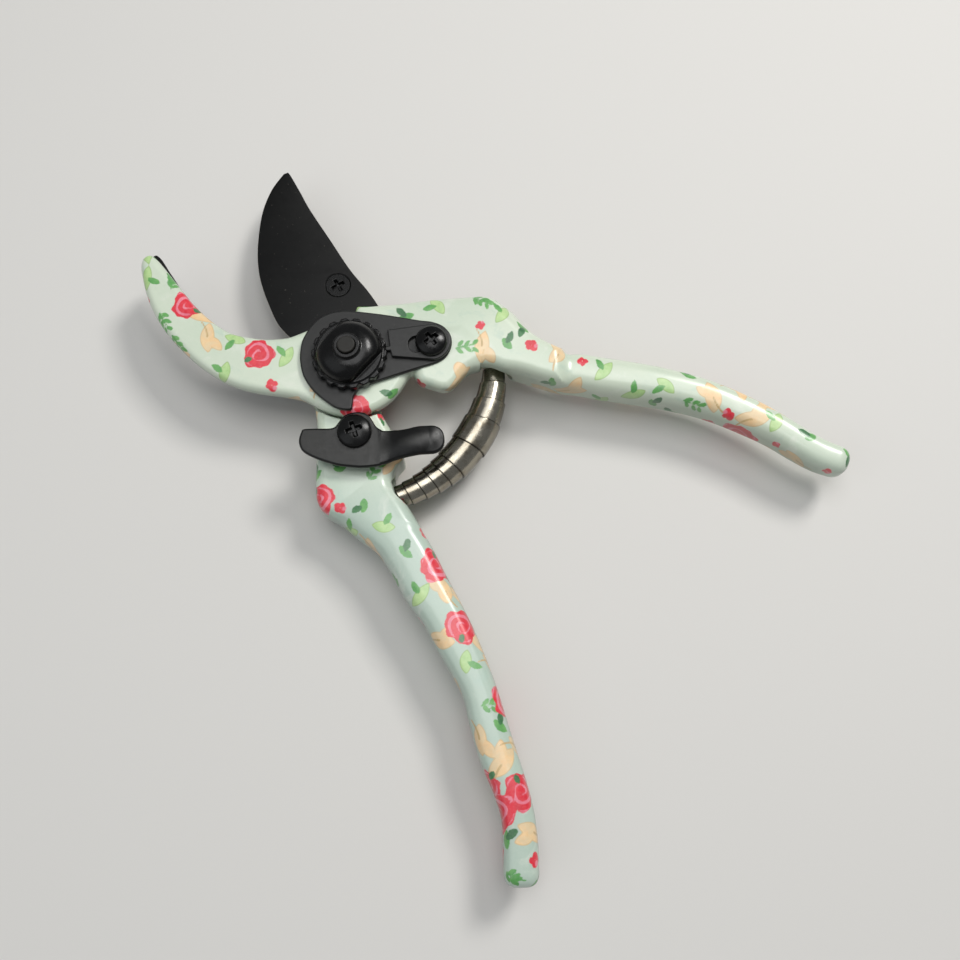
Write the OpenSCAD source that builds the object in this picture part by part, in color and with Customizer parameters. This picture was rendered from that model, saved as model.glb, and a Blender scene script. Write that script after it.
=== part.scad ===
// Bypass hand pruner with a locking thumb latch and a telescoping strip spring.
// Frame: origin on the pivot axis, at the flat face of the bolt head that the tool rests on,
// +Z points to the side with the adjusting nut. The upper handle runs along +X when open.
// Heights inside the modules are measured from the shear plane between the two blades.
// Lengths are in mm. Suffixes: _r radius, _t thickness, _h height, _z height of an underside
// unless noted, _at place in the XY plane.

/* [Pivot] */
// Radius of the plain shank of the pivot bolt
shank_r = 4; // [3.8:0.05:4.2]
// Radial running clearance between the bolt shank and its bush
run_gap = 0.04; // [0.02:0.01:0.08]
// Radius of the thread end of the pivot bolt
thread_r = 3; // [2.6:0.1:3.2]
// Radius of the domed head of the pivot bolt
bolt_head_r = 9.5; // [8:0.5:10.5]
// Radius of the notched flange of the adjusting nut
flange_r = 10.15; // [9.9:0.05:10.2]
// Number of notches round the flange
notches = 18; // [12:6:18]
// Width across the two flats of the nut
nut_flats = 13.3; // [12:0.1:15]

/* [Blades] */
// Thickness of the cutting blade
blade_t = 3; // [2.6:0.1:3]
// Width of the ground bevel on the cutting blade
bevel_w = 6; // [4:0.5:7]
// Thickness of the steel counter blade under the hook
counter_t = 2.95; // [2.5:0.05:2.95]
// Radius of the round tang of each blade
tang_r = 13.3; // [12:0.1:14]

/* [Handles] */
// Thickness of the flat head of the upper handle
head_t = 5; // [4:0.25:5]
// Radius of the round boss of the upper handle
boss_r = 16; // [15:0.25:16]
// Thickness of the head of the lower handle under the blade
low_head_t = 5.55; // [5:0.05:5.55]
// Height of the neck of the lower handle above the shear plane
neck_top = 5; // [4:0.25:5.5]
// Corner softness of the grip cross section
grip_softness = 0.72; // [0.6:0.02:1]

/* [Lock] */
// Thickness of the lock plate
plate_t = 1.55; // [1.2:0.05:1.55]
// Thickness of the lock slider
slider_t = 1.2; // [1:0.05:1.2]
// Thickness of the thumb latch
latch_t = 1.6; // [1.2:0.1:1.8]
// Height of the arch of the latch arm
latch_arch = 1.9; // [1:0.1:2.5]

/* [Spring] */
// Radius of the arc that the spring axis follows about the pivot
spring_arc_r = 38.9; // [38.7:0.1:39.1]
// Outside radius of the widest turn
spring_r = 5.3; // [4.9:0.1:5.3]
// Wall of the spring strip
spring_wall = 0.3; // [0.2:0.05:0.3]
// Height of the spring axis
spring_z = -1; // [-1.5:0.25:-0.5]

/* [Hidden] */
$fn = 96;

// Stack of parts along the pivot
face_gap = 0.05;                    // between stacked faces
washer_t = 0.45;
bolt_head_h = 2.45;
head_z = 3;                         // underside of the upper handle head
top_z = head_z + head_t;            // top of the upper handle head
plate_z = top_z + 0.03;
on_plate_z = plate_z + plate_t + face_gap;  // lock slider and nut flange
low_top_z = -blade_t - face_gap;    // top of the lower handle head
low_z = low_top_z - low_head_t;     // underside of the lower handle head
washer_z = low_z - face_gap - washer_t;
bolt_z = washer_z - face_gap - bolt_head_h;
latch_z = top_z + 0.2;

// Fits
fit_gap = 0.05;                     // bolt in its flatted holes and in the nut
bush_fit = 0.03;
shank_half_flats = shank_r - 0.7;
bush_r = 5.5;
rivet_hole_r = 1.9;
blade_screw_r = 2;
blade_hole_r = blade_screw_r + fit_gap;
pan_screw_r = 2.15;
tapped_r = 2.2;                     // hole round a pan screw in a handle or in the latch
slot_r = 2.3;                       // wider hole in the lock plate and slider
spring_seat_r = 5.1;
hub_r = 11.8;                       // disc of each handle round the pivot
through_h = 60;                     // cutters centred on the shear plane
upper_cut_h = 40;                   // cutters for the parts near the nut

// Places
blade_screw_at = [-5.7, 25.8];
blade_sink_z = -1.65;               // bottom of the countersink
latch_at = [2, -21.5];
lock_ang = 9.3;                     // direction of the lock screw from the pivot
lock_at = 22.3;                     // distance of the lock screw from the pivot
rivets = [[-26, -1], [-43, 8]];

// Colours
handle_color = [0.8, 0.87, 0.82];
blade_color = [0.1, 0.1, 0.11];
screw_color = [0.08, 0.08, 0.08];

// ---- curves -------------------------------------------------------------
// Catmull-Rom point between start and end, at fraction t
function spline(before, start, end, after, t) = 0.5 * (2 * start + (end - before) * t
  + (2 * before - 5 * start + 4 * end - after) * t * t
  + (3 * start - before - 3 * end + after) * t * t * t);

// Smooth line through the rows of a table, each gap cut into equal steps
function curve(rows, steps = 3) = let(last = len(rows) - 1)
  concat([for (i = [0 : last - 1], k = [0 : steps - 1])
    spline(rows[max(i - 1, 0)], rows[i], rows[i + 1], rows[min(i + 2, last)], k / steps)],
    [rows[last]]);

function polar(radius, angle) = [radius * cos(angle), radius * sin(angle)];
function signed_pow(value, power) = sign(value) * pow(abs(value), power);
function at_height(points, z) = [for (p = points) [p[0], p[1], z]];

// ---- shared shapes ------------------------------------------------------
// Closed solid through rings placed along a path: each station is
// [x, y, heading, half width, bottom, top]. A lower softness gives squarer rings.
module loft(stations, corners, softness) {
  path = curve(stations, 2);
  rings = len(path);
  points = [for (s = path, j = [0 : corners - 1])
    let(angle = 360 * j / corners,
      side = s[3] * signed_pow(cos(angle), softness),
      rise = (s[5] - s[4]) / 2 * signed_pow(sin(angle), softness))
    [s[0] - sin(s[2]) * side, s[1] + cos(s[2]) * side, (s[4] + s[5]) / 2 + rise]];
  polyhedron(points = points, faces = concat(
    [[for (j = [0 : corners - 1]) j]],
    [[for (j = [0 : corners - 1]) rings * corners - 1 - j]],
    [for (i = [0 : rings - 2], j = [0 : corners - 1])
      let(here = i * corners, ahead = here + corners, next = (j + 1) % corners)
      [here + j, ahead + j, here + next]],
    [for (i = [0 : rings - 2], j = [0 : corners - 1])
      let(here = i * corners, ahead = here + corners, next = (j + 1) % corners)
      [ahead + j, ahead + next, here + next]]));
}

// Raises the shear plane so that the face of the bolt head lies at z = 0
module up() translate([0, 0, -bolt_z]) children();

module at(place, z = 0) translate([place[0], place[1], z]) children();

// Puts a child on the axis of the lock screw
module at_lock(z) rotate([0, 0, lock_ang]) translate([lock_at, 0, z]) children();

// Bolt shank with two flats, grown all round by gap
module flatted_shank(gap, bottom, top) {
  radius = shank_r + gap;
  half_flats = shank_half_flats + gap;
  intersection() {
    translate([0, 0, bottom]) cylinder(r = radius, h = top - bottom);
    translate([-radius - 1, -half_flats, bottom])
      cube([2 * radius + 2, 2 * half_flats, top - bottom]);
  }
}

// Hole along the pivot axis
module pivot_bore(radius) cylinder(r = radius, h = through_h, center = true);

// Bent tube or rod about the pivot axis, between two angles
module arc_rod(radius, from, to, bore_r = 0) {
  translate([0, 0, spring_z]) rotate([0, 0, from])
    rotate_extrude(angle = to - from) translate([spring_arc_r, 0]) difference() {
      circle(r = radius, $fn = 48);
      if (bore_r > 0) circle(r = bore_r, $fn = 48);
    }
}

// Cross recess cutter, its mouth at z = 0
module cross_recess(reach, depth) {
  half_w = reach * 0.22;
  for (a = [0, 90]) rotate([0, 0, a])
    translate([-reach, -half_w, -depth]) cube([2 * reach, 2 * half_w, depth + 1]);
}

// Pan head screw, underside of the head at z = 0
module pan_screw(radius, height, shank_len) {
  dome_r = radius * 2.1;
  difference() {
    union() {
      rotate_extrude() intersection() {
        square([radius, height]);
        translate([0, height - dome_r]) circle(r = dome_r, $fn = 160);
      }
      translate([0, 0, -shank_len]) cylinder(r = pan_screw_r, h = shank_len + 0.2);
    }
    translate([0, 0, height]) cross_recess(reach = radius * 0.52, depth = 1.3);
  }
}

// ---- upper handle side --------------------------------------------------
// Outline of the head and hook, [x, y], in order round the shape
hook_inner = [[-56.9, 31.5], [-55, 29.6], [-51.4, 25.2], [-47.3, 20.1], [-44.4, 16.6],
  [-41.3, 13.6], [-38, 10.8], [-34.5, 8.6], [-31.8, 7.5], [-28.9, 6.9], [-23.9, 6.2],
  [-18, 6.6], [-14.4, 7.9], [-10.8, 9.5], [-8.2, 9.9], [-5.2, 11.5], [-1.8, 12.7]];
head_plus_y = [[0.8, 13.9], [3, 15.4], [7.3, 16.2], [13, 16.5], [18.4, 16.8], [24, 17.3],
  [29.5, 17.8], [33.7, 18.2], [36.5, 18.3], [38.4, 17.6], [40.4, 15.4], [43.1, 12.1],
  [46, 9.2], [48.9, 7.2], [53, 4.8], [57, 3]];
head_minus_y = [[57, -6], [52, -4.6], [46.3, -2.7], [41.4, -1.9], [39, -0.9], [36.2, -0.7],
  [33.5, -1.2], [31.5, -2.3], [29.9, -4.3], [28, -6.9], [26.4, -8.1], [24.6, -8.2],
  [22.8, -7.6], [20.9, -6.9], [19.2, -6.3], [18.2, -5], [17.3, -3.4], [15.6, -3.2]];
hook_outer = [[-6, -13.6], [-9, -12.5], [-13.9, -11], [-19.4, -10], [-24.4, -9.3],
  [-29.1, -8.2], [-33.9, -6.4], [-38.5, -3.7], [-42.8, -0.5], [-47, 3.4], [-50.4, 7],
  [-53.2, 10.6], [-55.4, 14.2], [-57.2, 17.9], [-58.6, 21.6], [-59.5, 24.9], [-60.2, 27.8],
  [-60.1, 30], [-59.2, 31.4], [-58, 31.9]];

// Deeper lump of the head: part of its -Y edge, closed across the head
lump = concat([for (i = [15 : -1 : 6]) head_minus_y[i]], [[36, 3], [30, 9], [19, 7]]);

// Loft stations: x, y, heading, half width, bottom, top
upper_grip = [[24, 6.6, 0, 9.6, 1, 7.4], [32, 8, -5, 10, -2, 7.6],
  [38, 8.2, -15, 9.6, -4, 7.6], [44, 4.6, -25, 7.4, -5.6, 7.2],
  [50, 1.4, -22, 5.8, -6.2, 6.8], [57.2, -1.6, -16, 5, -6.3, 6.5],
  [63, -2.1, -12, 5.3, -6.3, 6.3], [69, -3.2, -11, 5.4, -6.3, 6.3],
  [77, -4.5, -11, 5.4, -6.3, 6.3], [85, -6, -13, 5.2, -6.2, 6.2],
  [93.5, -8.1, -17, 5, -6, 6], [101.5, -11, -23, 4.8, -5.8, 5.8],
  [109.5, -14.8, -26, 4.6, -5.6, 5.6], [116, -18.5, -30, 4.2, -5.4, 5.4],
  [122.5, -22.9, -31, 3.9, -5.2, 5.2], [128, -26, -25, 3.9, -5, 5],
  [131.5, -27.3, -18, 3.5, -4.6, 4.6], [133.8, -28, -16, 2.5, -3.4, 3.4],
  [134.9, -28.3, -16, 1, -1.5, 1.5]];

// Round boss, cut back on the side between +Y and -X
module upper_boss() {
  reach = 40;
  difference() {
    translate([0, 0, head_z]) cylinder(r = boss_r, h = head_t);
    translate([0, 0, head_z - 1]) linear_extrude(head_t + 2)
      polygon(concat([[0, 0]], [for (a = [87, 110, 140]) polar(reach, a)],
        [[-26, 6.2], [-12, 6.2]]));
  }
}

module upper_handle() {
  lump_z = 2.5;
  up() color(handle_color) difference() {
    union() {
      translate([0, 0, head_z]) linear_extrude(head_t)
        polygon(concat(curve(hook_inner), curve(head_plus_y), curve(head_minus_y),
          [[13, -6], [0, -12]], curve(hook_outer)));
      upper_boss();
      translate([0, 0, head_z]) cylinder(r = hub_r, h = head_t);
      translate([0, 0, lump_z]) linear_extrude(top_z - lump_z) polygon(lump);
      loft(upper_grip, corners = 24, softness = grip_softness);
    }
    flatted_shank(fit_gap, head_z - 1, top_z + 1);
    arc_rod(spring_seat_r, -14, 1);
    at_lock(-0.5) cylinder(r = tapped_r, h = 12);
    for (place = rivets) at(place, head_z - 1) cylinder(r = rivet_hole_r, h = 4.6);
  }
  // peg that centres the spring end
  up() color(handle_color) arc_rod(2.5, -5, 1.4);
}

module counter_blade() {
  // Outline, [x, y]: concave edge, then the convex edge beyond the tang
  inner = [[-58.3, 34.2], [-57.2, 34.5], [-55.3, 33.2], [-53.5, 30.1], [-51.8, 27.3],
    [-49.7, 23.8], [-47.2, 20.4], [-43.4, 16.1], [-40, 13.1], [-36.4, 10.6], [-30.6, 8.7],
    [-25.1, 8], [-19, 8.3], [-15, 9.2], [-11, 10.3]];
  outer = [[-15, -8.4], [-23, -6.8], [-31, -4.5], [-39, 0], [-46.5, 6.5], [-51.5, 13],
    [-55.6, 20.5], [-57.9, 27.6], [-58.7, 31.6]];
  tang = [for (a = [130 : -5 : -140]) polar(tang_r, a)];
  up() color(blade_color) difference() {
    translate([0, 0, face_gap]) linear_extrude(counter_t - 0.02)
      polygon(concat(curve(inner), tang, curve(outer)));
    flatted_shank(fit_gap, -1, 4);
    for (place = rivets) at(place, -0.5) {
      cylinder(r = rivet_hole_r, h = 4);
      translate([0, 0, 0.5]) cylinder(r1 = 3.2, r2 = rivet_hole_r, h = 1.35);
    }
  }
}

module counter_blade_rivets() {
  up() color("silver") for (place = rivets) at(place, 0.15) {
    cylinder(r = rivet_hole_r - 0.05, h = 6.3);
    cylinder(r1 = 2.98, r2 = 1.8, h = 1.2);
  }
}

module pivot_bolt() {
  dome_w = 2.9;                     // radial width of the rounded rim
  dome_h = 1.6;
  flat_r = bolt_head_r - dome_w;
  shank_z = washer_z - 0.1;
  thread_z = top_z - 0.2;
  thread_len = 9.3;
  up() color([0.12, 0.12, 0.13]) {
    translate([0, 0, bolt_z]) rotate_extrude()
      polygon(concat([[0, 0], [flat_r, 0]],
        [for (a = [0 : 15 : 90]) [flat_r + dome_w * sin(a), dome_h * (1 - cos(a))]],
        [[bolt_head_r, bolt_head_h], [0, bolt_head_h]]));
    translate([0, 0, shank_z]) cylinder(r = shank_r, h = -0.02 - shank_z);
    flatted_shank(0, -0.05, top_z - 0.1);
    translate([0, 0, thread_z]) cylinder(r = thread_r, h = thread_len);
    translate([0, 0, thread_z + thread_len])
      cylinder(r1 = thread_r, r2 = thread_r - 0.75, h = 0.8);
  }
}

module adjusting_nut() {
  // Half section of the domed body, [radius, height over the flange underside]
  body = [[0, 1], [8.9, 1], [8.9, 2.5], [8.6, 3.6], [7.9, 4.7], [6.8, 5.6], [5.4, 6.3],
    [3.6, 6.7], [3.6, 7.5], [0, 7.5]];
  flats_ang = 49;
  up() color(screw_color) difference() {
    translate([0, 0, on_plate_z]) union() {
      difference() {
        cylinder(r = flange_r, h = 2.3);
        for (i = [0 : notches - 1]) rotate([0, 0, lock_ang + i * 360 / notches])
          translate([flange_r + 0.2, 0, -1]) cylinder(r = 0.85, h = 5);
      }
      // body cut to two flats above a round foot
      intersection() {
        rotate_extrude() polygon(body);
        union() {
          rotate([0, 0, flats_ang]) translate([-12, -nut_flats / 2, 0])
            cube([24, nut_flats, 9]);
          cylinder(r = 9, h = 2.6);
        }
      }
    }
    cylinder(r = thread_r + fit_gap, h = upper_cut_h, center = true);
  }
}

module lock_plate() {
  // Arm toward the lock screw, [x, y], from its +Y side round to its -Y side
  arm = [[-1.9, 13.5], [2.2, 13.1], [7.7, 12.4], [13.2, 11.5], [18.7, 10.5], [21.9, 10.1],
    [24.9, 8.9], [26.9, 6.7], [27.5, 4.1], [26.9, 1.4], [25.4, -0.7], [22.9, -2.1],
    [19, -3.3], [13.6, -5.1], [8.3, -6.9], [5.6, -7.9]];
  step = [[2.5, -9.3], polar(11.8, -84), polar(14.9, -86), polar(15.3, -88)];
  // Round lobe on the -X side: [radius, angle], then [x, y]
  lobe_polar = [[15.3, -93], [15.2, -98], [14.9, -105], [14.3, -114], [13.9, -124],
    [13.7, -134], [13.6, -146], [13.6, -160], [13.6, -178]];
  lobe_end = [[-13.4, 3.5], [-12.5, 6.3], [-10.8, 9.1], [-8.6, 11.4], [-5.6, 12.9]];
  lobe = concat([for (p = lobe_polar) polar(p[0], p[1])], lobe_end);
  up() color([0.13, 0.13, 0.14]) difference() {
    translate([0, 0, plate_z]) linear_extrude(plate_t)
      polygon(concat(curve(arm, 2), step, curve(lobe, 2)));
    cylinder(r = shank_r + 0.6, h = upper_cut_h);
    at_lock(0) cylinder(r = slot_r, h = upper_cut_h);
  }
}

module lock_slider() {
  face_x = 11;                      // end toward the nut
  end_r = 5.2;
  nib_x = 10.3;                     // centre of the nib that enters a notch
  nib_r = 0.65;
  slot_len = 4;
  slot_x = lock_at - slot_len;
  up() color([0.14, 0.14, 0.15]) translate([0, 0, on_plate_z]) rotate([0, 0, lock_ang])
    difference() {
      linear_extrude(slider_t) polygon(concat([[face_x, 5.4]],
        [for (a = [90 : -10 : -90]) [lock_at, 0] + polar(end_r, a)],
        [[11.2, -2.4], [face_x, -nib_r]],
        [for (a = [-90 : -22.5 : -270]) [nib_x, 0] + polar(nib_r, a)],
        [[face_x, nib_r]]));
      for (x = [slot_x, lock_at]) translate([x, 0, -1]) cylinder(r = slot_r, h = 4);
      translate([slot_x, -slot_r, -1]) cube([slot_len, 2 * slot_r, 4]);
    }
}

module lock_screw() {
  up() color(screw_color) at_lock(on_plate_z + slider_t + face_gap)
    pan_screw(radius = 4.3, height = 2.3, shank_len = 10.5);
}

// ---- lower handle side --------------------------------------------------
// Outline of the neck, [x, y], in order round the shape
neck_minus_x = [[-10.3, -11.9], [-9.7, -14.2], [-9.2, -18], [-9, -27.1], [-8.8, -33],
  [-8.4, -38], [-7.4, -40.2], [-5.9, -41.7], [-3.8, -42.6], [-0.8, -43.3], [3, -44.8]];
neck_plus_x = [[15, -40.4], [12.4, -36.9], [10.8, -34.4], [11, -32.6], [12.6, -29.3],
  [14.3, -27.2], [14.2, -25.2], [13.6, -23.7]];
neck = concat([[-12, -9]], curve(neck_minus_x), [[8, -49], [18, -45.5]], curve(neck_plus_x),
  [polar(21, -60), polar(16.6, -60), [6.9, -9.8], [7.5, -6]]);

// Loft stations: x, y, heading, half width, bottom, top
lower_grip = [[2.6, -36, -80, 9.4, -7.6, 4.4], [7.4, -42, -62, 8.2, -7, 5.6],
  [12.6, -47.8, -58, 6.7, -6.5, 6.3], [16.8, -54, -60, 6.4, -6.4, 6.4],
  [20.8, -61.4, -61, 6.2, -6.3, 6.3], [25.6, -69, -60, 5.6, -6.3, 6.3],
  [29.2, -76, -62, 5.4, -6.3, 6.3], [32.3, -82.2, -64, 4.9, -6.2, 6.2],
  [35, -88.3, -67, 4.4, -6.1, 6.1], [37, -95.3, -71, 4.7, -6, 6],
  [39.6, -103.8, -70, 4.8, -5.8, 5.8], [42.5, -111.5, -72, 4.3, -5.6, 5.6],
  [44.4, -118.2, -80, 4.1, -5.3, 5.3], [45, -125.2, -88, 4.4, -5, 5],
  [45.1, -130.4, -90, 3.8, -4.4, 4.4], [45.1, -133.4, -90, 2.6, -3.2, 3.2],
  [45.1, -134.8, -90, 1, -1.3, 1.3]];

module lower_handle() {
  up() color(handle_color) difference() {
    union() {
      translate([0, 0, low_z]) linear_extrude(low_head_t) union() {
        circle(r = hub_r);
        polygon([[-11.5, 2.6], [-12.2, 26], [0.8, 26.5], [10.3, 5.8], [0, 0]]);
        translate(blade_screw_at) circle(r = 6.5);
      }
      // neck, cleared for the boss of the upper handle
      difference() {
        translate([0, 0, low_z]) linear_extrude(neck_top - low_z) polygon(neck);
        translate([0, 0, low_top_z]) cylinder(r = boss_r + 0.4, h = 20);
      }
      at(latch_at) cylinder(r = 5, h = top_z - 0.1);
      loft(lower_grip, corners = 24, softness = grip_softness);
    }
    pivot_bore(bush_r + bush_fit);
    arc_rod(spring_seat_r, -71.2, -50);
    at(blade_screw_at, -20) cylinder(r = blade_hole_r, h = 30);
    at(latch_at, -3) cylinder(r = tapped_r, h = 20);
  }
  // peg that centres the spring end
  up() color(handle_color) arc_rod(1.9, -72, -66);
}

// Outline of the cutting blade, [x, y]: back from the tip, edge toward the tip
blade_back = [[-22.3, 62.4], [-21.4, 61.9], [-18, 55.9], [-14.8, 50], [-8.5, 40.2],
  [-2.4, 30.7], [3, 23.9], [6.6, 18.4], [9.8, 12]];
blade_edge = curve([[-17.6, 8.6], [-20.1, 11], [-22.5, 14], [-24.8, 18.7], [-27.1, 24.3],
  [-28.6, 29.5], [-29.4, 35.4], [-29.4, 42.5], [-28.6, 50], [-26.4, 56.8], [-23.2, 62]]);
edge_count = len(blade_edge);

// Inner limit of the bevel, which narrows towards both ends of the edge
bevel_inner = [for (i = [0 : edge_count - 1])
  let(before = blade_edge[max(i - 1, 0)],
    after = blade_edge[min(i + 1, edge_count - 1)],
    along = (after - before) / norm(after - before),
    taper = 0.35 + 0.65 * sin(180 * min(1, (i + 2) / (edge_count + 2))))
  blade_edge[i] + bevel_w * taper * [along[1], -along[0]]];

// Ground bevel, flat on the shear plane and thin at the edge
module bevel() {
  count = edge_count;
  edge_t = 0.25;
  polyhedron(
    points = concat(at_height(bevel_inner, -blade_t), at_height(bevel_inner, 0),
      at_height(blade_edge, 0), at_height(blade_edge, -edge_t)),
    faces = concat([[3 * count, 2 * count, count, 0]],
      [[2 * count - 1, 3 * count - 1, 4 * count - 1, count - 1]],
      [for (i = [0 : count - 2], c = [0 : 3])
        let(here = c * count + i, across = ((c + 1) % 4) * count + i)
        [here, across, here + 1]],
      [for (i = [0 : count - 2], c = [0 : 3])
        let(here = c * count + i, across = ((c + 1) % 4) * count + i)
        [here + 1, across, across + 1]]));
}

module cutting_blade() {
  up() color(blade_color) difference() {
    union() {
      translate([0, 0, -blade_t]) linear_extrude(blade_t) union() {
        polygon(concat([[0, 0]], bevel_inner, curve(blade_back)));
        circle(r = tang_r);
      }
      bevel();
    }
    pivot_bore(bush_r + bush_fit);
    at(blade_screw_at) {
      cylinder(r = blade_hole_r, h = 20, center = true);
      translate([0, 0, blade_sink_z]) cylinder(r1 = blade_hole_r, r2 = 3.75, h = 1.7);
    }
  }
}

module blade_screw() {
  up() color(screw_color) at(blade_screw_at) difference() {
    union() {
      translate([0, 0, blade_sink_z]) cylinder(r1 = blade_screw_r, r2 = 3.6, h = 1.6);
      translate([0, 0, low_z + 0.4]) cylinder(r = blade_screw_r, h = -low_z - 0.6);
    }
    translate([0, 0, -0.05]) cross_recess(reach = 2, depth = 1.1);
  }
}

module pivot_bush() {
  up() color("darkgoldenrod") difference() {
    translate([0, 0, low_z]) cylinder(r = bush_r, h = -low_z - 0.1);
    pivot_bore(shank_r + run_gap);
  }
}

module thrust_washer() {
  up() color("silver") difference() {
    translate([0, 0, washer_z]) cylinder(r = 8.5, h = washer_t);
    pivot_bore(shank_r + 0.3);
  }
}

// ---- latch --------------------------------------------------------------
// Flat tab, [x, y]
latch_tab = [[8.7, -30.6], [6.3, -31.1], [3.7, -31.3], [1.1, -31.1], [-2.1, -30.7],
  [-5.5, -29.7], [-8.2, -28.7], [-10.9, -27.3], [-12.2, -25.9], [-12.7, -23.7],
  [-12.2, -21.5], [-11.6, -20.7], [-9, -20.5], [-4.8, -20.5], [-3.3, -20], [-2.3, -18.6],
  [-1.3, -17.2], [0.3, -16.3], [3, -15.9], [5.2, -16.6], [6.5, -18.2], [7.5, -19.8],
  [8.8, -21]];

// Loft stations of the arm that arches over the gap and rolls down at its tip,
// bottom and top measured from the underside of the tab
latch_arm = [[6, -25.9, 0, 4.7, 0, latch_t],
  [8.7, -25.8, 0, 4.7, 0, latch_t],
  [11.4, -25.3, 0, 4.2, latch_arch * 0.2, latch_t + latch_arch * 0.25],
  [14, -24.9, 0, 3.9, latch_arch * 0.5, latch_t + latch_arch * 0.6],
  [16.7, -24.5, 0, 3.8, latch_arch * 0.8, latch_t + latch_arch * 0.9],
  [19.3, -24, 0, 3.9, latch_arch * 0.9, latch_t + latch_arch],
  [22.2, -23.8, 0, 4, latch_arch * 0.6, latch_t + latch_arch * 0.9],
  [24.4, -23.8, 0, 3.4, latch_arch * 0.2, latch_t + latch_arch * 0.6],
  [25.7, -23.8, 0, 2, 0.1, latch_t * 0.8]];

module latch() {
  up() color([0.1, 0.1, 0.1]) difference() {
    translate([0, 0, latch_z]) union() {
      linear_extrude(latch_t) polygon(curve(latch_tab));
      loft(latch_arm, corners = 20, softness = 0.6);
    }
    at(latch_at) cylinder(r = tapped_r, h = upper_cut_h);
  }
}

module latch_screw() {
  up() color(screw_color) at(latch_at, latch_z + latch_t + face_gap)
    pan_screw(radius = 4.6, height = 2.4, shank_len = 12.2);
}

module latch_washer() {
  up() color("silver") at(latch_at, top_z - 0.08) difference() {
    cylinder(r = 4.4, h = 0.22);
    cylinder(r = 2.35, h = 5, center = true);
  }
}

// ---- spring -------------------------------------------------------------
spring_step = spring_wall + 0.067;  // radius change between nested turns
turn_sweep = 13.6;
// Turns: radius steps from the widest turn, start angle
turns = [[-6, -71], [-5, -67.3], [-4, -61.8], [-3, -56.7], [-2, -51.7], [-1, -46.4],
  [0, -35.9], [-1, -27], [-3, -19], [-5, -13]];

// One turn of the strip, bent to the arc so that the turns slide inside each other
module spring_turn(i) {
  radius = spring_r + turns[i][0] * spring_step;
  start = turns[i][1];
  up() color([0.65, 0.62, 0.55])
    arc_rod(radius, start, start + turn_sweep, radius - spring_wall);
}
module spring_turn_1() spring_turn(0);
module spring_turn_2() spring_turn(1);
module spring_turn_3() spring_turn(2);
module spring_turn_4() spring_turn(3);
module spring_turn_5() spring_turn(4);
module spring_turn_6() spring_turn(5);
module spring_turn_7() spring_turn(6);
module spring_turn_8() spring_turn(7);
module spring_turn_9() spring_turn(8);
module spring_turn_10() spring_turn(9);

upper_handle();
counter_blade();
counter_blade_rivets();
lower_handle();
cutting_blade();
blade_screw();
pivot_bolt();
pivot_bush();
thrust_washer();
adjusting_nut();
lock_plate();
lock_slider();
lock_screw();
latch();
latch_screw();
latch_washer();
spring_turn_1();
spring_turn_2();
spring_turn_3();
spring_turn_4();
spring_turn_5();
spring_turn_6();
spring_turn_7();
spring_turn_8();
spring_turn_9();
spring_turn_10();
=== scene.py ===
"""Looks of a bypass hand pruner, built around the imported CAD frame.

Shapes are in millimetres. The pivot axis is x = y = 0 and heights are measured from the shear
plane between the blades (z = 0). The upper handle runs from the pivot towards +x and its hook
towards -x; the lower handle runs towards -y and its cutting blade towards +y.
Meshes are lifted by LIFT and scaled to metres when they are made.
"""
import math
from itertools import product

import bpy
import numpy as np
from mathutils import Matrix, Vector, geometry


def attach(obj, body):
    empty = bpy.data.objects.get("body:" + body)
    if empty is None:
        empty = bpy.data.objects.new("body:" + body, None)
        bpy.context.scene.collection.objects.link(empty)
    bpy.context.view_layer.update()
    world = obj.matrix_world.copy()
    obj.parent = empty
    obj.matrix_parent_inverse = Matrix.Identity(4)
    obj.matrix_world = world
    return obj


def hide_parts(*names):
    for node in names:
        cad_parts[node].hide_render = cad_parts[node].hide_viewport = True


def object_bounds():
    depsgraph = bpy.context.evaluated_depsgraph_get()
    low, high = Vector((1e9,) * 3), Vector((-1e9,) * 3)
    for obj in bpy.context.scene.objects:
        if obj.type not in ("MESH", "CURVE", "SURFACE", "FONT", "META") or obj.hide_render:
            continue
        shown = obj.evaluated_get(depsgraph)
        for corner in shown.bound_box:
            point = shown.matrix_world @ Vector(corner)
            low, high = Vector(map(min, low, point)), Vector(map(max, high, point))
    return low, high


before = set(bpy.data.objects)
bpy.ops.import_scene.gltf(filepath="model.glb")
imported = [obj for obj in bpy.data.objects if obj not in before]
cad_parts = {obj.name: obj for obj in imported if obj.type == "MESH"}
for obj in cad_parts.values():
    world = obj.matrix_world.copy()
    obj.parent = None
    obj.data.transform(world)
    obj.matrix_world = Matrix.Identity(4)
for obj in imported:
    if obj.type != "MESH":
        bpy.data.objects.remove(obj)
cad_box = [[float(c) for c in p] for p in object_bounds()]

# ---------------------------------------------------------------- shared sizes
LIFT = 11.6                # shear plane above the floor, where the bolt head stands
METRES = 0.001             # metres in a millimetre
PIVOT = (0.0, 0.0)
BOSS_RADIUS = 11.8         # round both handles share at the pivot
TANG_RADIUS = 13.3         # round end of both blades
SPRING_RADIUS = 38.9       # arc of the spring's centre line about the pivot
SPRING_Z = -1              # height of that centre line
SPRING_POCKET = 5.1        # radius of the hollows that hold the spring ends
LOCK_RADIUS = 22.3         # lock screw from the pivot
LOCK_ANGLE = 9.3           # its direction, shared by the slider and the nut's notches
BLADE_SCREW = (-5.7, 25.8)
LATCH_SCREW = (2.0, -21.5)
LOCK_STACK_Z = 9.63        # the nut and the slider rest at this height


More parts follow.
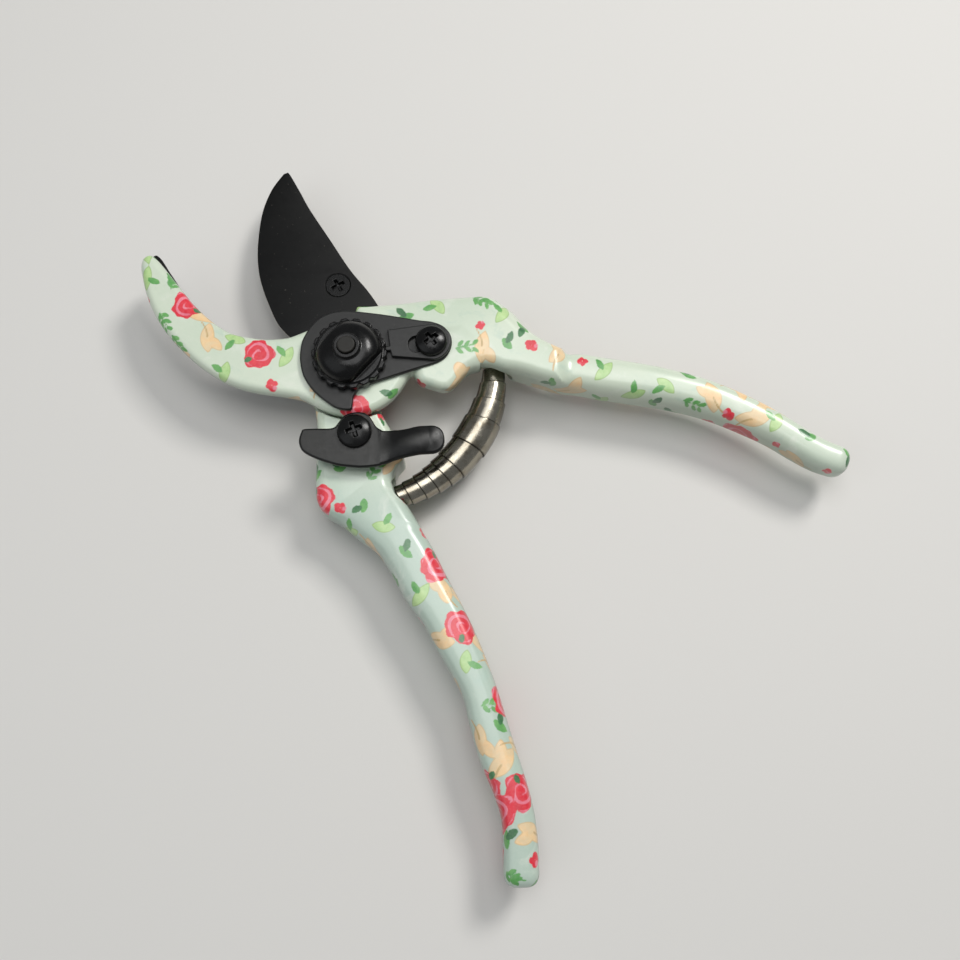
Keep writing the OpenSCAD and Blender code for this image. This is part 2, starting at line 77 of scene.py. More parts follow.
# ---------------------------------------------------------------- plan geometry
def spline(points, steps):
    """Catmull-Rom curve through the points, with this many steps to a span."""
    points = np.asarray(points, float)
    count = len(points)
    out = []
    for i in range(count - 1):
        before, start = points[max(i - 1, 0)], points[i]
        end, after = points[i + 1], points[min(i + 2, count - 1)]
        for k in range(steps):
            t = k / steps
            out.append(0.5 * (2 * start + (end - before) * t
                              + (2 * before - 5 * start + 4 * end - after) * t * t
                              + (3 * start - before - 3 * end + after) * t ** 3))
    out.append(points[-1])
    return np.array(out)


def arc(centre, radius, degrees):
    return [[centre[0] + radius * math.cos(math.radians(a)),
             centre[1] + radius * math.sin(math.radians(a))] for a in degrees]


def polar(radius, degrees):
    return arc(PIVOT, radius, [degrees])[0]


def turned(x, y, degrees):
    """Coordinates along and across a ray from the origin in this direction."""
    cos, sin = math.cos(math.radians(degrees)), math.sin(math.radians(degrees))
    return x * cos + y * sin, -x * sin + y * cos


def signed_area(outline):
    """Positive when the outline runs anticlockwise."""
    return 0.5 * np.sum(outline[:, 0] * np.roll(outline[:, 1], -1)
                        - np.roll(outline[:, 0], -1) * outline[:, 1])


def right_normals(outline):
    """Unit normals on the right hand of travel, outward for an anticlockwise outline."""
    tangent = np.roll(outline, -1, 0) - np.roll(outline, 1, 0)
    tangent /= np.maximum(np.linalg.norm(tangent, axis=1, keepdims=True), 1e-9)
    return np.stack([tangent[:, 1], -tangent[:, 0]], 1)


LOCK_SCREW = polar(LOCK_RADIUS, LOCK_ANGLE)


# ---------------------------------------------------------------- signed distances
def smooth_min(first, second, blend):
    near = np.maximum(blend - np.abs(first - second), 0) / blend
    return np.minimum(first, second) - near * near * blend / 4


def smooth_max(first, second, blend):
    return -smooth_min(-first, -second, blend)


def polygon(x, y, points):
    """Plan distance to a closed polygon, negative inside."""
    x, y = np.broadcast_arrays(x, y)
    shape = x.shape
    x, y = x.ravel(), y.ravel()
    square = np.full(x.shape, 1e18)
    inside = np.zeros(x.shape, bool)
    count = len(points)
    for i in range(count):
        start_x, start_y = points[i]
        end_x, end_y = points[(i + 1) % count]
        step_x, step_y = end_x - start_x, end_y - start_y
        length2 = step_x * step_x + step_y * step_y
        if length2 < 1e-12:
            continue
        rel_x, rel_y = x - start_x, y - start_y
        part = np.clip((rel_x * step_x + rel_y * step_y) / length2, 0, 1)
        square = np.minimum(square, (rel_x - step_x * part) ** 2 + (rel_y - step_y * part) ** 2)
        if start_y != end_y:
            inside ^= ((start_y > y) != (end_y > y)) & (x < step_x * (y - start_y) / step_y + start_x)
    return (np.where(inside, -1, 1) * np.sqrt(square)).reshape(shape)


def slab(plan, z, bottom, top, edge):
    """Extrudes a plan distance between two heights, with edges rounded by edge."""
    side = plan + edge
    cap = np.abs(z - (bottom + top) / 2) - (top - bottom) / 2 + edge
    return (np.hypot(np.maximum(side, 0), np.maximum(cap, 0))
            + np.minimum(np.maximum(side, cap), 0) - edge)


def bore(dist, x, y, centre, radius):
    """Cuts a round hole right through."""
    return np.maximum(dist, radius - np.hypot(x - centre[0], y - centre[1]))


def spring_tube(rad, z):
    """Distance from the spring's centre line."""
    return np.hypot(rad - SPRING_RADIUS, z - SPRING_Z)


class Sweep:
    """Path through stations whose columns are x, y, half width and any further values.

    As a solid the further columns are bottom and top, and the section is a superellipse.
    """

    def __init__(self, stations, end_power, section_power=None):
        self.stations = spline(stations, 8)
        self.end_power = end_power
        self.section_power = section_power

    def plan(self, x, y):
        """Distance from the path, then the station columns at the nearest place on it."""
        x, y = np.broadcast_arrays(x, y)
        shape = x.shape
        x, y = x.ravel(), y.ravel()
        nearest = np.full(x.shape, 1e18)
        place_on = np.zeros(x.shape)
        dist = np.zeros(x.shape)
        path, power = self.stations, self.end_power
        last = len(path) - 2
        for i in range(last + 1):
            step_x, step_y = path[i + 1, 0] - path[i, 0], path[i + 1, 1] - path[i, 1]
            length = math.hypot(step_x, step_y)
            rel_x, rel_y = x - path[i, 0], y - path[i, 1]
            reach = (rel_x * step_x + rel_y * step_y) / (length * length)
            part = np.clip(reach, 0, 1)
            square = (rel_x - step_x * part) ** 2 + (rel_y - step_y * part) ** 2
            closer = square < nearest
            nearest = np.where(closer, square, nearest)
            place_on = np.where(closer, i + part, place_on)
            here = np.sqrt(square)
            if i == last:
                # the far end is rounded as a superellipse
                beyond = np.maximum(reach - 1, 0) * length
                aside = np.abs(rel_x * step_y - rel_y * step_x) / length
                rounded = (beyond ** power + aside ** power) ** (1 / power)
                here = np.where(reach > 1, rounded, here)
            dist = np.where(closer, here, dist)
        index = np.arange(len(path))
        columns = [np.interp(place_on, index, column) for column in path.T[2:]]
        return [a.reshape(shape) for a in (dist, *columns)]

    def __call__(self, x, y, z):
        dist, width, bottom, top = self.plan(x, y)
        half = (top - bottom) / 2
        height = np.abs(z - (top + bottom) / 2)
        power = self.section_power
        section = ((dist / width) ** power + (height / half) ** power + 1e-9) ** (1 / power)
        return (section - 1) * np.minimum(width, half)


# ---------------------------------------------------------------- meshing
GRID_MARGIN = 1.6          # cells added around the box
PROBE = 0.25               # offset of the gradient samples, in cells
MAX_MOVE = 0.35            # longest correction of a vertex, in cells
TETRAHEDRON = np.array([[1, 1, 1], [1, -1, -1], [-1, 1, -1], [-1, -1, 1]], float)


def surface_nets(field, low, high, cell):
    """Vertices, quads and normals of a distance field's zero surface."""
    low = np.asarray(low, float) - GRID_MARGIN * cell
    size = np.ceil((np.asarray(high, float) + GRID_MARGIN * cell - low) / cell).astype(int) + 1
    grid_x, grid_y, grid_z = [low[i] + cell * np.arange(size[i]) for i in range(3)]
    values = field(grid_x[:, None, None], grid_y[None, :, None], grid_z[None, None, :])
    values = np.broadcast_to(values, tuple(size)).astype(np.float64)
    solid = values < 0
    corners = [solid[i:size[0] - 1 + i, j:size[1] - 1 + j, k:size[2] - 1 + k]
               for i, j, k in product((0, 1), repeat=3)]
    crossed = np.logical_or.reduce(corners) & ~np.logical_and.reduce(corners)
    cells = np.argwhere(crossed)
    index = -np.ones(crossed.shape, np.int64)
    index[tuple(cells.T)] = np.arange(len(cells))

    # each vertex is the mean of the crossings on its cell's twelve edges
    total, hits = np.zeros((len(cells), 3)), np.zeros(len(cells))
    for axis in range(3):
        for i, j in product((0, 1), repeat=2):
            offset = np.zeros(3, int)
            offset[(axis + 1) % 3], offset[(axis + 2) % 3] = i, j
            start = cells + offset
            end = start.copy()
            end[:, axis] += 1
            value0, value1 = values[tuple(start.T)], values[tuple(end.T)]
            cuts = (value0 < 0) != (value1 < 0)
            spot = np.repeat(offset[None].astype(float), cuts.sum(), 0)
            spot[:, axis] = value0[cuts] / (value0[cuts] - value1[cuts])
            total[cuts] += spot
            hits[cuts] += 1
    verts = low + cell * (cells + total / hits[:, None])

    # a quad joins the four cells around every crossed grid edge
    quads = []
    for axis in range(3):
        side_a, side_b = (axis + 1) % 3, (axis + 2) % 3
        solid0 = np.take(solid, range(size[axis] - 1), axis)
        solid1 = np.take(solid, range(1, size[axis]), axis)
        edges = np.argwhere(solid0 != solid1)
        within = ((edges[:, side_a] > 0) & (edges[:, side_a] < size[side_a] - 1)
                  & (edges[:, side_b] > 0) & (edges[:, side_b] < size[side_b] - 1))
        edges = edges[within]
        unit_a, unit_b = np.eye(3, dtype=int)[side_a], np.eye(3, dtype=int)[side_b]
        around = (edges, edges - unit_a, edges - unit_a - unit_b, edges - unit_b)
        quad = np.stack([index[tuple(a.T)] for a in around], 1)
        flip = ~solid0[tuple(edges.T)]
        quad[flip] = quad[flip][:, ::-1]
        quads.append(quad)

    # one Newton step onto the surface, then normals where the vertices end up
    probe = PROBE * cell
    for step in range(2):
        samples = [field(*(verts + probe * t).T) for t in TETRAHEDRON]
        gradient = sum(s[:, None] * t for s, t in zip(samples, TETRAHEDRON)) / (4 * probe)
        if step == 0:
            slope2 = np.maximum((gradient * gradient).sum(1), 0.05)
            move = -(sum(samples) / 4)[:, None] * gradient / slope2[:, None]
            length = np.linalg.norm(move, axis=1, keepdims=True)
            verts = verts + move * np.minimum(1, MAX_MOVE * cell / np.maximum(length, 1e-9))
    normals = gradient / np.maximum(np.linalg.norm(gradient, axis=1, keepdims=True), 1e-9)
    return verts, np.concatenate(quads), normals


def add_mesh(name, verts, faces, normals=None, attrs=None):
    """Smooth object from millimetre vertices, with float attributes on its points."""
    data = bpy.data.meshes.new(name)
    lifted = np.asarray(verts, float) + [0, 0, LIFT]
    data.from_pydata((lifted * METRES).tolist(), [], [list(f) for f in faces])
    data.polygons.foreach_set("use_smooth", np.full(len(data.polygons), True))
    if normals is not None:
        data.normals_split_custom_set_from_vertices(normals.tolist())
    for key, values in (attrs or {}).items():
        attr = data.attributes.new(key, "FLOAT", "POINT")
        attr.data.foreach_set("value", np.asarray(values, np.float32))
    data.update()
    obj = bpy.data.objects.new(name, data)
    bpy.context.scene.collection.objects.link(obj)
    return obj


def place(obj, body, node, material):
    """Gives a piece its material and the body it rides, and hides the CAD node it stands for."""
    obj.data.materials.append(material)
    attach(obj, body)
    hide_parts(node)


def grid_size(cells):
    """Takes the full size from a pair of (quick, full) cell sizes."""
    return cells[1]


def build(name, field, low, high, cells, body, node, material):
    """Meshes a distance field and places it."""
    verts, quads, normals = surface_nets(field, low, high, grid_size(cells))
    place(add_mesh(name, verts, quads, normals), body, node, material)


# ---------------------------------------------------------------- materials
SPAN = (0.3, 0.7)          # most of a noise texture's values lie in here


class NodeMaterial:
    """Principled material with short calls for the nodes used here."""

    def __init__(self, name):
        self.material = bpy.data.materials.new(name)
        self.material.use_nodes = True
        self.tree = self.material.node_tree
        self.shader = self.tree.nodes["Principled BSDF"]
        self.object_coord = None

    def node(self, kind, **settings):
        node = self.tree.nodes.new(kind)
        for key, value in settings.items():
            setattr(node, key, value)
        return node

    def feed(self, socket, value):
        """Puts a number, a colour or a link into an input."""
        if isinstance(value, (int, float)):
            socket.default_value = value
        elif isinstance(value, (tuple, list)):
            socket.default_value = (*value[:3], 1.0)
        else:
            self.tree.links.new(value, socket)

    def coord(self):
        if self.object_coord is None:
            self.object_coord = self.node("ShaderNodeTexCoord").outputs["Object"]
        return self.object_coord

    def noise(self, scale, detail, roughness, stretch=None, distortion=0.0):
        source = self.coord()
        if stretch:
            mapping = self.node("ShaderNodeMapping")
            mapping.inputs["Scale"].default_value = stretch
            self.feed(mapping.inputs["Vector"], source)
            source = mapping.outputs["Vector"]
        node = self.node("ShaderNodeTexNoise")
        for key, value in (("Scale", scale), ("Detail", detail), ("Roughness", roughness),
                           ("Distortion", distortion), ("Vector", source)):
            self.feed(node.inputs[key], value)
        return node.outputs["Fac"]

    def math(self, operation, *values):
        node = self.node("ShaderNodeMath", operation=operation)
        for i, value in enumerate(values):
            self.feed(node.inputs[i], value)
        return node.outputs[0]

    def ramp(self, value, span, out=(0.0, 1.0), smooth=False):
        """Maps the range span to the range out, clamped."""
        node = self.node("ShaderNodeMapRange")
        if smooth:
            node.interpolation_type = "SMOOTHSTEP"
        self.feed(node.inputs["Value"], value)
        for key, limit in zip(("From Min", "From Max", "To Min", "To Max"), (*span, *out)):
            node.inputs[key].default_value = limit
        return node.outputs["Result"]

    def mix(self, factor, first, second):
        node = self.node("ShaderNodeMix", data_type="RGBA")
        # inputs 0, 6 and 7 are the factor and the two colours
        for i, value in ((0, factor), (6, first), (7, second)):
            self.feed(node.inputs[i], value)
        return node.outputs[2]

    def bump(self, height, strength, distance, target="Normal"):
        node = self.node("ShaderNodeBump")
        node.inputs["Strength"].default_value = strength
        node.inputs["Distance"].default_value = distance
        self.feed(node.inputs["Height"], height)
        self.feed(self.shader.inputs[target], node.outputs["Normal"])

    def attribute(self, name):
        return self.node("ShaderNodeAttribute", attribute_name=name).outputs["Fac"]

    def flatness(self):
        """1 on level faces, 0 on upright ones."""
        split = self.node("ShaderNodeSeparateXYZ")
        self.feed(split.inputs[0], self.node("ShaderNodeNewGeometry").outputs["Normal"])
        return self.math("ABSOLUTE", split.outputs["Z"])

    def set(self, **inputs):
        """Sets shader inputs; an underscore stands for a space."""
        for key, value in inputs.items():
            self.feed(self.shader.inputs[key.replace("_", " ")], value)


def rgb(red, green, blue):
    """sRGB bytes to linear."""
    return tuple(((c / 255 + 0.055) / 1.055) ** 2.4 if c > 10 else c / 255 / 12.92
                 for c in (red, green, blue))


def scaled(colour, factor, extra=0.0):
    return tuple(c * factor + extra for c in colour)


def black_paint(name, base, roughness, specular, bump, coat=0.0, specks=0.0, painted_wall_shade=1.0):
    """Grainy dark finish; the last argument paints shade on the faces that aren't level, so only the
    level faces keep the lit tone.
    """
    mat = NodeMaterial(name)
    grain = mat.noise(scale=900, detail=5, roughness=0.6)
    cloud = mat.noise(scale=60, detail=4, roughness=0.6)
    fine = mat.noise(scale=2600, detail=2, roughness=0.5)
    tone = mat.mix(mat.ramp(cloud, SPAN), base, scaled(base, 1.6, extra=0.002))
    if specks:
        dots = mat.ramp(mat.noise(scale=1500, detail=1, roughness=0.5), span=(0.72, 0.78))
        tone = mat.mix(mat.math("MULTIPLY", dots, specks), tone, rgb(150, 145, 138))
    # painted shade: faces that aren't level get a darker copy of the base colour, as if only the
    # level faces caught the light
    if painted_wall_shade < 1:
        level = mat.ramp(mat.flatness(), span=(0.965, 0.999))
        tone = mat.mix(level, scaled(base, painted_wall_shade), tone)
    grain_rough = mat.ramp(grain, SPAN, out=(roughness - 0.06, roughness + 0.08))
    cloud_rough = mat.ramp(cloud, SPAN, out=(-0.03, 0.04))
    mat.set(Base_Color=tone, Roughness=mat.math("ADD", grain_rough, cloud_rough),
            Specular_IOR_Level=specular)
    if coat:
        mat.set(Coat_Weight=coat, Coat_Roughness=0.12)
    height = mat.math("ADD", grain, mat.math("MULTIPLY", fine, 0.6))
    mat.bump(height, strength=bump, distance=0.00004)
    return mat.material


def metal(name, base, roughness, scratch=0.3, stretch=None, finish=None):
    """Bare metal; finish may change its colour further, as the spring's stains and painted shade do.
    """
    mat = NodeMaterial(name)
    grain = mat.noise(scale=500, detail=5, roughness=0.6, stretch=stretch)
    cloud = mat.noise(scale=90, detail=4, roughness=0.6)
    tone = mat.mix(mat.ramp(cloud, SPAN), base, scaled(base, 0.8))
    if finish:
        tone = finish(mat, tone)
    mat.set(Base_Color=tone, Metallic=1.0,
            Roughness=mat.ramp(grain, SPAN, out=(roughness - 0.07, roughness + 0.09)))
    mat.bump(grain, strength=scratch, distance=0.00004)
    return mat.material


def spring_stains_and_painted_shade(mat, tone):
    """Warm stains, with painted shade over them: a painted reflection of dark surroundings, darker
    where the tube is seen edge-on, and a painted shadow where one turn meets the next.
    """
    stain = mat.noise(scale=220, detail=3, roughness=0.6)
    tone = mat.mix(mat.ramp(stain, span=(0.5, 0.75)), tone, rgb(120, 110, 92))
    # painted reflection of dark surroundings: the tone darkens where the tube is seen edge-on
    view = mat.node("ShaderNodeLayerWeight")
    view.inputs["Blend"].default_value = 0.5
    painted_dark_reflection = mat.ramp(view.outputs["Facing"], span=(0.25, 0.85), out=(0.0, 0.7))
    tone = mat.mix(painted_dark_reflection, tone, rgb(38, 34, 27))
    # painted shadow where one turn meets the next, read from a mesh attribute
    return mat.mix(mat.math("MULTIPLY", mat.attribute("painted_seam_shadow"), 0.85), tone, rgb(30, 26, 20))


def floral_enamel():
    """Pale green enamel with the printed layers over it, each from its own attribute."""
    mat = NodeMaterial("floral_enamel")

    def wobble(noise, amount):
        return mat.math("MULTIPLY", mat.math("SUBTRACT", noise, 0.5), amount)

    ragged = wobble(mat.noise(scale=900, detail=3, roughness=0.6), amount=0.7)
    loose = wobble(mat.noise(scale=420, detail=2, roughness=0.5), amount=1.1)
    blot = mat.noise(scale=330, detail=4, roughness=0.65)
    fine = mat.noise(scale=1300, detail=4, roughness=0.6)
    broad = mat.noise(scale=45, detail=3, roughness=0.5)
    colour = mat.mix(mat.ramp(broad, SPAN), rgb(199, 212, 192), rgb(209, 219, 199))
    # the ground is cooler down the lower handle
    split = mat.node("ShaderNodeSeparateXYZ")
    mat.feed(split.inputs[0], mat.coord())
    down = mat.ramp(split.outputs["Y"], span=(-0.048, -0.018), out=(1.0, 0.0), smooth=True)
    colour = mat.mix(down, colour, rgb(180, 198, 184))
    blots = mat.ramp(blot, span=(0.62, 0.75), out=(0, 0.25))
    colour = mat.mix(blots, colour, rgb(190, 205, 182))
    # a pale and a deep wash
    wash = mat.noise(scale=130, detail=4, roughness=0.6, distortion=0.6)
    pale = mat.ramp(wash, span=(0.56, 0.70), out=(0, 0.45), smooth=True)
    colour = mat.mix(pale, colour, rgb(222, 226, 214))
    deep = mat.ramp(wash, span=(0.44, 0.30), out=(0, 0.35), smooth=True)
    colour = mat.mix(deep, colour, rgb(168, 194, 180))
    thin = mat.ramp(mat.noise(scale=240, detail=3, roughness=0.6),
                    span=(0.38, 0.62), out=(0.74, 1.0), smooth=True)

    # bottom layer first: attribute, the two colours it varies between, softness of its border
    # in mm, wobble of its border, outline colour, strength
    layers = (
        ("lime", rgb(200, 212, 150), rgb(188, 204, 138), 0.9, loose, None, 0.85),
        ("peach", rgb(240, 205, 154), rgb(233, 194, 142), 0.16, None, rgb(205, 172, 122), thin),
        ("stem", rgb(190, 160, 110), rgb(206, 176, 124), 0.14, None, None, 1.0),
        ("lleaf", rgb(188, 216, 150), rgb(160, 200, 128), 0.12, None, rgb(140, 170, 100), 1.0),
        ("green", rgb(108, 174, 92), rgb(74, 148, 72), 0.16, ragged, None, 1.0),
        ("dgreen", rgb(58, 122, 68), rgb(40, 98, 56), 0.16, ragged, None, 1.0),
        ("white", rgb(242, 236, 222), rgb(232, 222, 206), 0.16, ragged, None, 1.0),
        ("red", rgb(228, 38, 60), rgb(210, 24, 50), 0.16, ragged, None, 1.0),
        ("pink", rgb(236, 140, 156), rgb(224, 104, 128), 0.22, loose, None, 1.0),
        ("gtop", rgb(66, 128, 74), rgb(48, 104, 60), 0.14, ragged, None, 1.0),
    )
    for layer, first, second, soft, border, outline, strength in layers:
        dist = mat.attribute(layer)
        if border is not None:
            dist = mat.math("ADD", dist, border)
        ink = mat.mix(mat.ramp(blot, span=(0.35, 0.68)), first, second)
        if outline is None:
            cover = mat.ramp(dist, span=(-soft, soft), out=(strength, 0.0), smooth=True)
            colour = mat.mix(cover, colour, ink)
        else:
            from_line = mat.math("ABSOLUTE", mat.math("ADD", dist, 0.05))
            line = mat.ramp(from_line, span=(0.05, 0.22), out=(0.55, 0.0))
            cover = mat.ramp(dist, span=(-soft, soft), out=(1.0, 0.0), smooth=True)
            colour = mat.mix(mat.math("MULTIPLY", cover, strength), colour, ink)
            colour = mat.mix(line, colour, outline)

    # faint mottling keeps the print uneven
    colour = mat.mix(mat.ramp(fine, SPAN, out=(0.0, 0.05)), colour, rgb(250, 246, 236))
    # painted shade: the side walls are darkened towards grey-green, as if only the level faces were
    # lit
    wall = mat.ramp(mat.flatness(), span=(0.05, 0.65), out=(0.34, 0.0), smooth=True)
    colour = mat.mix(wall, colour, rgb(96, 112, 100))
    mat.set(Base_Color=colour, Roughness=mat.ramp(fine, SPAN, out=(0.30, 0.40)),
            Specular_IOR_Level=0.5, Coat_Weight=0.5, Coat_Roughness=0.20)
    height = mat.math("ADD", mat.math("MULTIPLY", broad, 3.0), mat.math("MULTIPLY", fine, 0.25))
    mat.bump(height, strength=0.25, distance=0.00008)
    mat.bump(mat.noise(scale=150, detail=3, roughness=0.5), strength=0.10, distance=0.00008,
             target="Coat Normal")
    return mat.material


def ground_blade():
    """Black coating that gives way to bare steel where the attribute "ground" is high."""
    mat = NodeMaterial("blade_coating_edge")
    grain = mat.noise(scale=900, detail=5, roughness=0.6)
    cloud = mat.noise(scale=55, detail=4, roughness=0.6)
    ground = mat.attribute("ground")
    tone = mat.mix(mat.ramp(cloud, SPAN), rgb(7, 7, 7), rgb(12, 12, 11))
    dots = mat.noise(scale=1500, detail=1, roughness=0.5)
    specks = mat.ramp(dots, span=(0.74, 0.80), out=(0, 0.16))
    tone = mat.mix(specks, tone, rgb(140, 134, 126))
    bare = mat.ramp(ground, span=(0.55, 0.95))
    tone = mat.mix(bare, tone, rgb(205, 200, 190))
    grain_rough = mat.ramp(grain, SPAN, out=(0.36, 0.48))
    cloud_rough = mat.ramp(cloud, SPAN, out=(-0.04, 0.05))
    mat.set(Base_Color=tone, Metallic=mat.math("MULTIPLY", bare, 0.9), Specular_IOR_Level=0.24,
            Roughness=mat.math("ADD", grain_rough, cloud_rough))
    waves = mat.math("MULTIPLY", mat.noise(scale=120, detail=3, roughness=0.5), 2.0)
    mat.bump(mat.math("ADD", grain, waves), strength=0.25, distance=0.00005)
    return mat.material


mat_blade = black_paint("blade_coating", rgb(10, 10, 10), roughness=0.46, specular=0.22,
                        bump=0.3, specks=0.06)
# the plate and the latch carry painted shade on their faces that aren't level
mat_plate = black_paint("plate_satin", rgb(27, 27, 26), roughness=0.40, specular=0.42,
                        bump=0.35, specks=0.06, painted_wall_shade=0.5)
mat_latch = black_paint("latch_satin", rgb(27, 27, 25), roughness=0.36, specular=0.38,
                        bump=0.3, specks=0.05, painted_wall_shade=0.2)
mat_gloss = black_paint("hardware_gloss", rgb(8, 8, 8), roughness=0.25, specular=0.24,
                        bump=0.10, coat=0.06)
mat_bolt = black_paint("bolt_phosphate", rgb(33, 32, 29), roughness=0.46, specular=0.25,
                       bump=0.35)
mat_spring = metal("spring_nickel", rgb(172, 166, 152), roughness=0.22, scratch=0.03,
                   stretch=(1, 1, 1), finish=spring_stains_and_painted_shade)
mat_steel = metal("plain_steel", rgb(180, 180, 178), roughness=0.34)
mat_bronze = metal("bush_bronze", rgb(176, 136, 84), roughness=0.38)
mat_enamel = floral_enamel()
mat_ground = ground_blade()

# ---------------------------------------------------------------- upper handle
# Outlines are x, y. The hook's +y side, from its tip to the boss:
HOOK_UPPER = [
    [-56.9, 31.5], [-55, 29.6], [-51.4, 25.2], [-47.3, 20.1], [-44.4, 16.6], [-41.3, 13.6],
    [-38, 10.8], [-34.5, 8.6], [-31.8, 7.5], [-28.9, 6.9], [-23.9, 6.2], [-18, 6.6],
    [-14.4, 7.9], [-10.8, 9.5], [-8.2, 9.9], [-5.2, 11.5], [-1.8, 12.7]]
# the head's +y side, from the boss to the grip
HEAD_UPPER = [
    [0.8, 13.9], [3, 15.4], [7.3, 16.2], [13, 16.5], [18.4, 16.8], [24, 17.3], [29.5, 17.8],
    [33.7, 18.2], [36.5, 18.3], [38.4, 17.6], [40.4, 15.4], [43.1, 12.1], [46, 9.2],
    [48.9, 7.2], [53, 4.8], [57, 3]]
# the head's -y side, from the grip back to the boss
HEAD_LOWER = [
    [57, -6], [52, -4.6], [46.3, -2.7], [41.4, -1.9], [39, -0.9], [36.2, -0.7], [33.5, -1.2],
    [31.5, -2.3], [29.9, -4.3], [28, -6.9], [26.4, -8.1], [24.6, -8.2], [22.8, -7.6],
    [20.9, -6.9], [19.2, -6.3], [18.2, -5], [17.3, -3.4], [15.6, -3.2]]
# the hook's -y side, from the boss to its tip
HOOK_LOWER = [
    [-6, -13.6], [-9, -12.5], [-13.9, -11], [-19.4, -10], [-24.4, -9.3], [-29.1, -8.2],
    [-33.9, -6.4], [-38.5, -3.7], [-42.8, -0.5], [-47, 3.4], [-50.4, 7], [-53.2, 10.6],
    [-55.4, 14.2], [-57.2, 17.9], [-58.6, 21.6], [-59.5, 24.9], [-60.2, 27.8], [-60.1, 30],
    [-59.2, 31.4], [-58, 31.9]]
HEAD = np.concatenate([spline(HOOK_UPPER, 3), spline(HEAD_UPPER, 3), spline(HEAD_LOWER, 3),
                       [[13, -6], [0, -12]], spline(HOOK_LOWER, 3)])
# thickening behind the lobe in the head's -y side, whose outline it follows
LUMP = np.array(HEAD_LOWER[15:5:-1] + [[36, 3], [30, 9], [19, 7]])
# sector where the wide boss is cut back
BOSS_NOTCH = np.array([[0, 0], polar(40, 87), polar(40, 110), polar(40, 140),
                       [-26, 6.2], [-12, 6.2]])
# x, y, half width, bottom, top
UPPER_GRIP = Sweep([
    [24, 6.6, 9.6, 1, 7.4], [32, 8, 10, -2, 7.6], [38, 8.2, 9.6, -4, 7.6],
    [44, 4.6, 7.4, -5.6, 7.2], [50, 1.4, 5.8, -6.2, 6.8], [57.2, -1.6, 5, -6.3, 6.5],
    [63, -2.1, 5.3, -6.3, 6.3], [69, -3.2, 5.4, -6.3, 6.3], [77, -4.5, 5.4, -6.3, 6.3],
    [85, -6, 5.2, -6.2, 6.2], [93.5, -8.1, 5, -6, 6], [101.5, -11, 4.8, -5.8, 5.8],
    [109.5, -14.8, 4.6, -5.6, 5.6], [116, -18.5, 4.3, -5.4, 5.4], [122.5, -22.9, 4.2, -5.2, 5.2],
    [127, -25.5, 4.2, -5, 5], [130.7, -27, 4.1, -4.9, 4.9]], end_power=2.3, section_power=2.7)
HEAD_TOP = 8
WIDE_BOSS_RADIUS = 16
UPPER_RECESS_RADIUS, UPPER_RECESS_TOP = 17.3, 2.98   # round recess under the head
UPPER_PEG_RADIUS = 2.5                               # peg inside the spring's end


def upper_handle(x, y, z):
    rad = np.hypot(x, y)
    boss = smooth_max(rad - WIDE_BOSS_RADIUS, -polygon(x, y, BOSS_NOTCH), blend=0.6)
    boss = np.minimum(boss, rad - BOSS_RADIUS)
    plan = smooth_min(polygon(x, y, HEAD), boss, blend=1.5)
    dist = slab(plan, z, bottom=3, top=HEAD_TOP, edge=2.1)
    dist = smooth_min(dist, UPPER_GRIP(x, y, z), blend=3.5)
    lump = slab(polygon(x, y, LUMP), z, bottom=2.5, top=HEAD_TOP, edge=1.4)
    dist = smooth_min(dist, lump, blend=1.5)
    recess = np.maximum(rad - UPPER_RECESS_RADIUS, z - UPPER_RECESS_TOP)
    dist = smooth_max(dist, -recess, blend=0.5)
    # pocket for the spring, with a peg standing in it
    tube = spring_tube(rad, z)
    past_floor = turned(x, y, 1)[1]
    dist = smooth_max(dist, -np.maximum(tube - SPRING_POCKET, past_floor), blend=0.6)
    peg_ends = np.maximum(past_floor - 0.3, -turned(x, y, -5)[1])
    dist = np.minimum(dist, smooth_max(tube - UPPER_PEG_RADIUS, peg_ends, blend=0.5))
    dist = bore(dist, x, y, PIVOT, radius=4.08)
    return bore(dist, x, y, LOCK_SCREW, radius=2.2)


# ---------------------------------------------------------------- lower handle
# x, y: down the -x side of the neck, across, and back up the +x side
NECK = np.concatenate([
    [[-12, -9]],
    spline([[-10.3, -11.9], [-9.7, -14.2], [-9.2, -18], [-9, -27.1], [-8.8, -33], [-8.4, -38],
            [-7.4, -40.2], [-5.9, -41.7], [-3.8, -42.6], [-0.8, -43.3], [3, -44.8]], 3),
    [[8, -49], [18, -45.5]],
    spline([[15, -40.4], [12.4, -36.9], [10.8, -34.4], [11, -32.6], [12.6, -29.3],
            [14.3, -27.2], [14.2, -25.2], [13.6, -23.7]], 3),
    [polar(21, -60), polar(16.6, -60), [6.9, -9.8], [7.5, -6]]])
BLADE_SEAT = [[-11.5, 2.6], [-12.2, 26], [-0.3, 26.2], [9.6, 5.8], [0, 0]]
# x, y, half width, bottom, top
LOWER_GRIP = Sweep([
    [2.6, -36, 9.4, -7.6, 4.4], [7.4, -42, 8.2, -7, 5.6], [12.6, -47.8, 6.7, -6.5, 6.3],
    [16.8, -54, 6.4, -6.4, 6.4], [20.8, -61.4, 6.2, -6.3, 6.3], [25.6, -69, 5.6, -6.3, 6.3],
    [29.2, -76, 5.4, -6.3, 6.3], [32.3, -82.2, 4.9, -6.2, 6.2], [35, -88.3, 4.5, -6.1, 6.1],
    [37, -95.3, 4.7, -6, 6], [39.6, -103.8, 4.8, -5.8, 5.8], [42.5, -111.5, 4.4, -5.6, 5.6],
    [44.4, -118.2, 4.2, -5.3, 5.3], [45, -125.2, 4.4, -5.1, 5.1],
    [45.1, -130.3, 4.4, -4.9, 4.9]], end_power=3.0, section_power=2.9)
SEAT_BOTTOM, SEAT_TOP = -8.6, -3.05    # plate under the cutting blade
LOWER_PEG_RADIUS = 1.9                 # peg inside the spring's end


